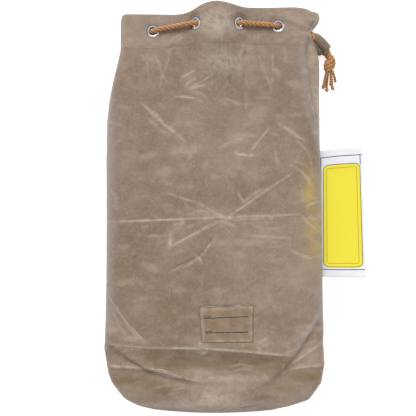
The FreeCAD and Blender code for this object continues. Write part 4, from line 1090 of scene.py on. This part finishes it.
def paint(made, points):
    """Keeps each mark's strength at each vertex: chalky wear with painted light, olive grime with painted shade, the
    painted sheen, the stain and the sharp lines.
    """
    x, y, z = points.T
    front_side = smooth(6, 22, z)
    from_fold = x - knots(FOLD_EDGE, y)
    smears = bump_noise(x * 0.6, y * 1.4, 30, 7.5)
    # painted light: the strip past the fold and the hem are made paler against the shade of the fold's drop and the
    # hump's slope; the smears are wear
    strip = smooth(0, 7, from_fold) * smooth(130, 200, y) * (1 - smooth(372, 386, y))
    hem = smooth(-2, 4, y - knots(HEM_STITCH, x))
    worn = (0.34 * strip, 0.13 * hem, 0.22 * smooth(0.20, 0.60, smears))
    chalk_and_painted_light = strongest(*pale_lines(x, y, CHALK_AND_HIGHLIGHT_LINES), *worn, *blots(x, y, PAINTED_LIGHT_AND_PALE_BLOTS))

    # painted shade: darker in the hollow under the base's crest and in a thin line just past the fold's edge, with the
    # grime and shade blots and the lines of crease shade
    under = knots(BASE_RIDGE, x) - y
    hollow = smooth(1, 12, under) * (1 - smooth(26, 62, under)) * smooth(-168, -110, x) * (1 - smooth(140, 182, x))
    shade = gauss(from_fold - 3.5, 3.2) * smooth(130, 200, y) * (1 - smooth(366, 384, y))
    olive_grime_and_shade = strongest(*drawn(x, y, CREASE_SHADE_LINES, 0.3), *blots(x, y, SHADE_AND_GRIME_BLOTS), 0.78 * hollow, 0.62 * shade)

    # painted sheen: grey at the side edges, beside the fold's edge, along the right base fold and at the rims of the
    # foot
    sides = smooth(214, 236, np.abs(x)) * smooth(-300, -240, y)
    fold = gauss(from_fold + 5, 8) * smooth(60, 150, y) * (1 - smooth(360, 400, y))
    corner = gauss((knots(RIGHT_FOLD, x) - y) * 0.72 + 7, 7) * smooth(150, 200, x)
    painted_sheen = np.clip(0.42 * sides + 0.46 * fold * (0.75 + 0.6 * smears) + 0.50 * corner, 0, 0.6)
    foot = 0.18 * (1 - smooth(-448, -416, y)) + 0.25 * smooth(150, 220, np.abs(x)) * (1 - smooth(-420, -380, y))

    stain = sum(blots(x, y, ((221, -54, 24, 66, 1.0), (208, 36, 16, 54, 0.65))))
    stain *= 0.75 + 0.5 * bump_noise(x, y, 24, 4.4)
    store(made, "rest", points * MM)
    for name, lines in (("pale_crease_and_highlight", PALE_CREASES), ("dark_edge", EDGE_SHADE_LINES)):
        field = crease_field(x, y, lines)
        field[:, 1] *= front_side
        store(made, name, field)
    store(made, "painted_sheen", np.clip(np.maximum(painted_sheen, foot), 0, 1))
    for name, value in (("chalk_and_painted_light", chalk_and_painted_light), ("olive_grime_and_shade", olive_grime_and_shade), ("stain", stain)):
        store(made, name, np.clip(value, 0, 1) * front_side)


MOUTH_BEND = ("sack", "mouth_front", (0, 0.300, 0.048), (0, 0.30229, 0.05596))
paint(sack, sack_points)
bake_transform(sack)
dress(sack, "canvas", "front_panel", "back_panel", "mouth_collar_front", "mouth_facing_front", "mouth_facing_back")


# ---------------------------------------------------------------- stitches

STITCH_STATIONS, STITCH_SIDES = 5, 6
STITCH_SHARE = 0.40  # half of a stitch's length, as a share of the pitch
STITCH_LIFT = 0.12
RIM_STITCH, BACK_HEM_STITCH = 415.5, 342.0
SIDE_SEAM = (-366.0, 340.0)


def facing(direction, count):
    """The same normal at every point of a line."""
    return np.tile(np.array(direction, float), (count, 1))


def stitch_rows(name, node, runs, pitch=3.6, radius=0.42, material=THREAD, bend=None):
    """Short rounded stitches along lines of points with their normals."""
    share = np.linspace(-1, 1, STITCH_STATIONS)[:, None]
    size = radius * np.sqrt(np.maximum(1 - share**2, 0.06))
    angle = turned(STITCH_SIDES)[None, :]
    own = np.broadcast_arrays(
        share * pitch * STITCH_SHARE, size * np.cos(angle) * 1.15, size * np.sin(angle) + STITCH_LIFT
    )
    own = np.stack(own, -1).reshape(-1, 3)
    vertices = []
    for line, normals in runs:
        line, _ = even(np.asarray(line, float), pitch)
        source, target = np.linspace(0, 1, len(normals)), np.linspace(0, 1, len(line))
        up = np.stack([np.interp(target, source, np.asarray(normals)[:, k]) for k in range(3)], 1)
        tangent = unit(np.gradient(line, axis=0))
        side = unit(np.cross(tangent, up))
        axes = np.stack([tangent, side, np.cross(side, tangent)], 1)
        vertices += list(line[:, None] + own @ axes)
    starts = range(0, len(vertices) * len(own), len(own))
    faces = [face for start in starts for face in tube(STITCH_STATIONS, STITCH_SIDES, start)]
    made = cloth_mesh(name, np.concatenate(vertices), faces, material)
    if bend:
        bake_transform(made)
    dress(made, "thread", node, body=None if bend else "sack")
    return made


def on_front(x, y):
    """A line on the front layer, with the cloth's normals, for plan places below the rim's curve."""
    x, y = np.asarray(x, float), np.asarray(y, float)
    p = front(x, y)
    return p, unit(np.cross(front(x + 1, y) - p, front(x, y + 1) - p))


def hem_stitches():
    x, rim_x = np.linspace(-196, 192, 160), np.linspace(-196, 200, 160)
    runs = [on_front(x, knots(HEM_STITCH, x)), on_front(rim_x, np.full(160, RIM_STITCH))]
    stitch_rows("hem_stitches_front", "hem_thread_front", runs, bend=MOUTH_BEND)
    line = rear(np.linspace(192, -192, 90), np.full(90, BACK_HEM_STITCH))
    stitch_rows("hem_stitches_back", "hem_thread_back", [(line, facing((0, 0, -1), 90))])


def seam_stitches():
    """A row down each side, on the lower half of the roll."""
    steps = np.where((outer[:, 0, 1] > SIDE_SEAM[0]) & (outer[:, 0, 1] < SIDE_SEAM[1]))[0][::3]
    down = 1 + int(NR * 0.62)
    runs = [(outer[steps, c], sack_normals[steps, c]) for c in (NF + down, outer.shape[1] - down)]
    stitch_rows("side_seam_stitches", "side_seam_thread", runs, 3.8, 0.45)


# The base from its middle underneath, round its turned-in seam, to its middle above: radius, height.
BASE_BOTTOM, BASE_TOP = 0.7, 1.6
BASE_PROFILE = [(radius, BASE_BOTTOM) for radius in (20, 40, 60, 80, 100, 120, 135)]
BASE_PROFILE += [
    (143, 0.6), (148, 0.5), (150.5, 0.5), (151.5, 0.9), (152, 2), (151, 4.6), (149.5, 6.5), (148.8, 5.4),
    (149.4, 3.4), (150.4, 2), (149, 1.7),
]
BASE_PROFILE += [(radius, BASE_TOP) for radius in (140, 120, 90, 60, 30)]
BASE_SEAM = 146.0


def base_circle(radius, height, angles):
    around = np.stack([radius * np.cos(angles), BASE_Y + radius * np.sin(angles)], 1)
    return np.concatenate([around, np.full((len(angles), 1), height)], 1)


def base_piece():
    """The round base, set into the back layer, with its turned-in seam and stitches."""
    sides = 120
    circles = [base_circle(radius, height, turned(sides)) for radius, height in BASE_PROFILE]
    vertices = np.concatenate([[(0, BASE_Y, BASE_BOTTOM), (0, BASE_Y, BASE_TOP)], *circles])
    last = len(vertices) - sides
    faces = tube(len(circles), sides, 2, ends=False)
    for a in range(sides):
        b = (a + 1) % sides
        faces += [(0, 2 + b, 2 + a), (last + a, last + b, 1)]
    made = cloth_mesh("base_round", vertices, faces, SACK)
    for name in ("chalk_and_painted_light", "olive_grime_and_shade", "painted_sheen", "stain"):
        store(made, name, np.zeros(len(vertices)))
    dress(made, "canvas", "base_disc", "base_seam_welt", body="sack")
    seam = base_circle(BASE_SEAM, 0.55, np.linspace(0, FULL_TURN, 200))
    stitch_rows("base_seam_stitches", "base_seam_thread", [(seam, facing((0, 0, -1), 200))], 3.8, 0.3)


hem_stitches()
seam_stitches()
base_piece()


# ---------------------------------------------------------------- the pleat round the front tail

# Stations along each fold: centre, half width, half height and tilt in degrees.
LEAF = [
    (213, 380, 16, 7, 6, 0), (218, 375.5, 20, 9, 8, 4), (224, 371, 29, 10.5, 10.5, 10), (233, 363, 31, 10.5, 10, 12),
    (242, 354.5, 30.5, 9.8, 8.5, 10), (249, 348, 28.5, 8.2, 7.4, 6),
]
UNDER_FOLD = [
    (202, 380, 24, 8, 8, 0), (210, 370.5, 24, 10, 9.5, 6), (219, 360, 22, 11, 9.5, 8), (228.5, 349.5, 18.5, 11, 8.5, 6),
    (236, 339.5, 14, 9.6, 6.5, 0),
]
PUCKER = 0.035  # how deep the fold's creases are, as a share of its size


def lobe_piece(name, stations, *nodes, sides=28):
    """A closed fold of cloth along stations."""
    stations = np.array(stations, float)
    centres = stations[:, :3]
    line, at = even(centres, 1.6)
    source = np.concatenate([[0], np.cumsum(np.linalg.norm(np.diff(centres, axis=0), axis=1))])
    wide, tall, tilt = (np.interp(at, source, column)[:, None] for column in stations[:, 3:].T)
    tilt = np.radians(tilt)
    tangent = unit(np.gradient(line, axis=0))
    side = unit(np.cross(tangent, (0, 0, 1.0)))
    up = np.cross(side, tangent)
    angle = turned(sides)[None, :]
    cos, sin = np.cos(angle), np.sin(angle)
    out = np.copysign(np.abs(cos) ** 0.8, cos) * wide
    rise = np.copysign(np.abs(sin) ** 1.25, sin) * tall
    pucker = PUCKER * np.cos(angle * 7 + 0.4) * np.minimum(wide, tall)
    across = out * np.cos(tilt) - rise * np.sin(tilt)
    above = out * np.sin(tilt) + rise * np.cos(tilt) + pucker
    vertices = line[:, None] + across[..., None] * side[:, None] + above[..., None] * up[:, None]
    made = cloth_mesh(name, vertices.reshape(-1, 3), tube(len(line), sides), PLEAT_SHADED)
    dress(made, "canvas", *nodes, body="sack")


lobe_piece("mouth_pleat_leaf", LEAF, "mouth_pleat")
lobe_piece("mouth_pleat_under", UNDER_FOLD)


# ---------------------------------------------------------------- the name patch and the side tag

# Corners: lower left, lower right, upper right, upper left.
PATCH_CORNERS = [(-29.5, -297), (81.5, -295.5), (82, -212), (-35, -218)]
PATCH_SIZE = (114, 80)
PATCH_MARGIN, PATCH_RISE = 4.0, 0.62
TAG_CORNERS = [(226, -154), (334, -156.5), (325, 134), (226, 123)]
TAG_SIZE = (104, 284)
TAG_BEND = ("sack", "tag_flap", (0.2436, 0, 0), (0.2496, 0, 0))
TAG_THICK = 0.55
NAVY = linear(52, 60, 120)
FIELD_LINE, FIELD_YELLOW, FIELD_RULE = linear(44, 46, 40), linear(229, 215, 62), linear(120, 116, 40)


def box_mask(g, x, y, low, high, soft):
    """One inside the box from low to high in the piece's own millimetres, falling to nothing over soft."""
    parts = []
    for value, a, b in ((x, low[0], high[0]), (y, low[1], high[1])):
        parts += [g.span(value, (a - soft) * MM, a * MM), g.span(value, b * MM, (b + soft) * MM, 1.0, 0.0)]
    return reduce(g.times, parts)


def patch_material():
    """Thinner brown cloth with two ruled lines, each under a short row of plain dashes."""
    g = new_graph("patch_cloth_ruled")
    at = g.attribute("rest")
    x, y, _ = g.axes(at)
    y = g.plus(y, g.times(g.minus(g.noise(at, 18.0), 0.5), 0.0022))
    clouds = g.noise(at, 40.0, 4.0, 0.6)
    colour = g.mix(g.span(clouds, 0.3, 0.7), linear(128, 107, 86), linear(146, 126, 104))

    def outside(low, high, soft):
        return g.minus(1.0, box_mask(g, x, y, low, high, soft))

    grime = g.span(g.noise(at, 70.0, 4.0), 0.48, 0.72, 0.0, 0.45)
    colour = g.mix(g.times(grime, outside((8, 8), (106, 66), 6)), colour, linear(98, 86, 80))
    worn = g.span(clouds, 0.34, 0.64, 0.15, 0.75)
    colour = g.mix(g.times(outside((10, 9), (104, 66), 7), worn), colour, CLOTH_LIGHT)
    broken = g.span(g.noise(at, 60.0, 3.0), 0.36, 0.60, 0.05, 0.55)
    colour = g.mix(g.times(outside((1.4, 1.3), (114.4, 75.2), 0.6), broken), colour, CREASE_SHADE)
    ink = box_mask(g, x, y, (8.5, 52.6), (103, 54.2), 0.6)
    ink = g.most(ink, box_mask(g, x, y, (8.5, 20.2), (104, 21.8), 0.6))
    for start, height in ((8.5, 55.8), (9.0, 23.4)):
        for k, width in enumerate((3.0, 2.2, 3.2, 2.4)):
            left = start + k * 4.2
            ink = g.most(ink, g.times(box_mask(g, x, y, (left, height), (left + width, height + 1.9), 0.4), 0.9))
    faded = g.span(g.noise(at, 400.0, 2.0), 0.25, 0.6, 0.55, 1.0)
    colour = g.mix(g.times(ink, faded), colour, INK)
    normal = weave(g, at, 0.0009, 0.00025, g.bump(clouds, 0.002, 0.4))
    return g.surface(Base_Color=colour, Roughness=0.8, Normal=normal, Sheen_Weight=0.15, Specular_IOR_Level=0.25)


def tag_material():
    """White cloth printed with a plain yellow field in a thin dark outline, between thin navy rules."""
    g = new_graph("tag_cloth_printed")
    at = g.attribute("rest")
    x, y, _ = g.axes(at)
    shade = g.noise(at, 16.0, 4.0)
    colour = g.mix(g.span(shade, 0.3, 0.7), (0.70, 0.70, 0.73, 1), (0.80, 0.80, 0.82, 1))
    rules = [((0, height), (TAG_SIZE[0], height + 1.5)) for height in (16.0, 266.5)]
    rules += [((side, low), (side + 1.5, 268)) for side, low in ((7.2, 16), (98.5, 246))]
    for low, high in rules:
        colour = g.mix(box_mask(g, x, y, low, high, 0.4), colour, NAVY)

    def beyond(value, centre, half, round_by):
        return g.minus(g.size(g.minus(value, centre * MM)), (half - round_by) * MM)

    def field(cx, cy, half_x, half_y, round_by):
        """Distance outside a rounded box, in metres."""
        qx, qy = beyond(x, cx, half_x, round_by), beyond(y, cy, half_y, round_by)
        out_x, out_y = g.most(qx, 0.0), g.most(qy, 0.0)
        far = g.math("SQRT", g.plus(g.times(out_x, out_x), g.times(out_y, out_y)))
        return g.minus(g.plus(far, g.math("MINIMUM", g.most(qx, qy), 0.0)), round_by * MM)

    far = field(56, 136, 43, 114, 12)
    colour = g.mix(g.span(far, 0.0, 0.0003, 1.0, 0.0), colour, FIELD_LINE)
    colour = g.mix(g.span(far, -0.0014, -0.0011, 1.0, 0.0), colour, FIELD_YELLOW)
    colour = g.mix(g.span(g.size(g.plus(far, 0.0085)), 0.0004, 0.0007, 0.85, 0.0), colour, FIELD_RULE)
    normal = weave(g, at, 0.0008, 0.0002, g.bump(shade, 0.003, 0.5))
    return g.surface(Base_Color=colour, Roughness=0.75, Normal=normal, Sheen_Weight=0.1, Specular_IOR_Level=0.25)


def bilinear(corners, s, t):
    a, b, c, d = (np.array(p, float) for p in corners)
    s, t = s[..., None], t[..., None]
    return a * (1 - s) * (1 - t) + b * s * (1 - t) + c * s * t + d * (1 - s) * t


def shares(columns, rows_):
    """The share across and the share up at each corner of a flat piece's grid."""
    return np.meshgrid(np.linspace(0, 1, columns + 1), np.linspace(0, 1, rows_ + 1))


def slab(name, top, bottom, material, s, t, size):
    """A thin closed sheet from two grids of points, which knows its flat place by its shares of size."""
    index = np.arange(s.size).reshape(s.shape)
    under = index + s.size
    faces = quads(index) + quads(under.T)
    for one, other in (
        (under[0], index[0]), (index[-1], under[-1]), (index[:, 0], under[:, 0]), (under[:, -1], index[:, -1]),
    ):
        faces += quads(np.stack([one, other]))
    rest = np.stack([s * size[0], t * size[1], np.zeros_like(s)], -1).reshape(-1, 3)
    vertices = np.concatenate([top.reshape(-1, 3), bottom.reshape(-1, 3)])
    return cloth_mesh(name, vertices, faces, material, np.concatenate([rest] * 2))


def patch_piece():
    s, t = shares(58, 42)
    plan = bilinear(PATCH_CORNERS, s, t)
    plan[..., 1] += 0.5 * bump_noise(s * 90, t * 60, 20, 6.6) * (np.abs(t - 0.5) > 0.47)
    plan[..., 0] += 0.5 * bump_noise(t * 90, s * 40, 16, 1.6) * (np.abs(s - 0.5) > 0.47)
    base = front(plan[..., 0], plan[..., 1])
    wide, tall = PATCH_SIZE
    inset = np.minimum(np.minimum(s, 1 - s) * wide, np.minimum(t, 1 - t) * tall)
    middle = smooth(6, 20, inset) * (0.5 + bump_noise(s * 110, t * 80, 24, 9.2))
    puff = 0.75 + 0.55 * smooth(0, 2.0, inset) - 0.35 * gauss(inset - PATCH_MARGIN, 1.3) + 0.35 * middle
    top = base + puff[..., None] * (0, 0, 1)
    bottom = base + np.array((0, 0, 0.02))
    made = slab("name_patch_cloth", top, bottom, patch_material(), s, t, PATCH_SIZE)
    dress(made, "patch_cloth", "name_patch", body="sack")
    a, b = PATCH_MARGIN / wide, PATCH_MARGIN / tall
    loop = [(a, b), (1 - a, b), (1 - a, 1 - b), (a, 1 - b), (a, b)]
    share = np.linspace(0, 1, 30)
    runs = []
    for (s0, t0), (s1, t1) in zip(loop[:-1], loop[1:]):
        place = bilinear(PATCH_CORNERS, s0 + (s1 - s0) * share, t0 + (t1 - t0) * share)
        points, normals = on_front(place[:, 0], place[:, 1])
        points[:, 2] += PATCH_RISE
        runs.append((points, normals))
    seam = stitch_rows("name_patch_stitches", "name_patch_thread", runs, 3.0, 0.38, PATCH_THREAD)


def tag_piece():
    s, t = shares(56, 120)
    plan = bilinear(TAG_CORNERS, s, t)
    plan[..., 1] += (3.0 * np.sin(s * 3.0 + 0.5) * t - 1.2 * np.sin(s * 4) * (1 - t)) * 0.6
    x, y = plan[..., 0], plan[..., 1]
    lift = 6.2 * (1 - smooth(229, 247, x))
    ripple = 1.5 * (1 + bump_noise(x, y, 46, 2.7)) * smooth(240, 300, x) * (0.4 + smooth(0.6, 1.0, np.abs(2 * t - 1)))
    low = np.stack([x, y, 0.35 + lift + ripple], -1)
    high = low + np.array([0, 0, TAG_THICK])
    made = slab("side_tag_cloth", high, low, tag_material(), s, t, TAG_SIZE)
    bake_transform(made)
    dress(made, "tag_cloth", "side_tag_root", "side_tag_flap")
    edges = (high[3:-3, -3], high[2, 12:-3], high[-3, 12:-3])
    runs = [(line, facing((0, 0, 1), len(line))) for line in edges]
    seam = stitch_rows("side_tag_stitches", "side_tag_thread", runs, 3.4, 0.3, TAG_THREAD, TAG_BEND)


patch_piece()
tag_piece()


# ---------------------------------------------------------------- CAD nodes that stay

for name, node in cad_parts.items():
    if node.hide_render:
        continue
    for slot in node.material_slots:
        slot.material = STEEL if "washer" in name else NICKEL
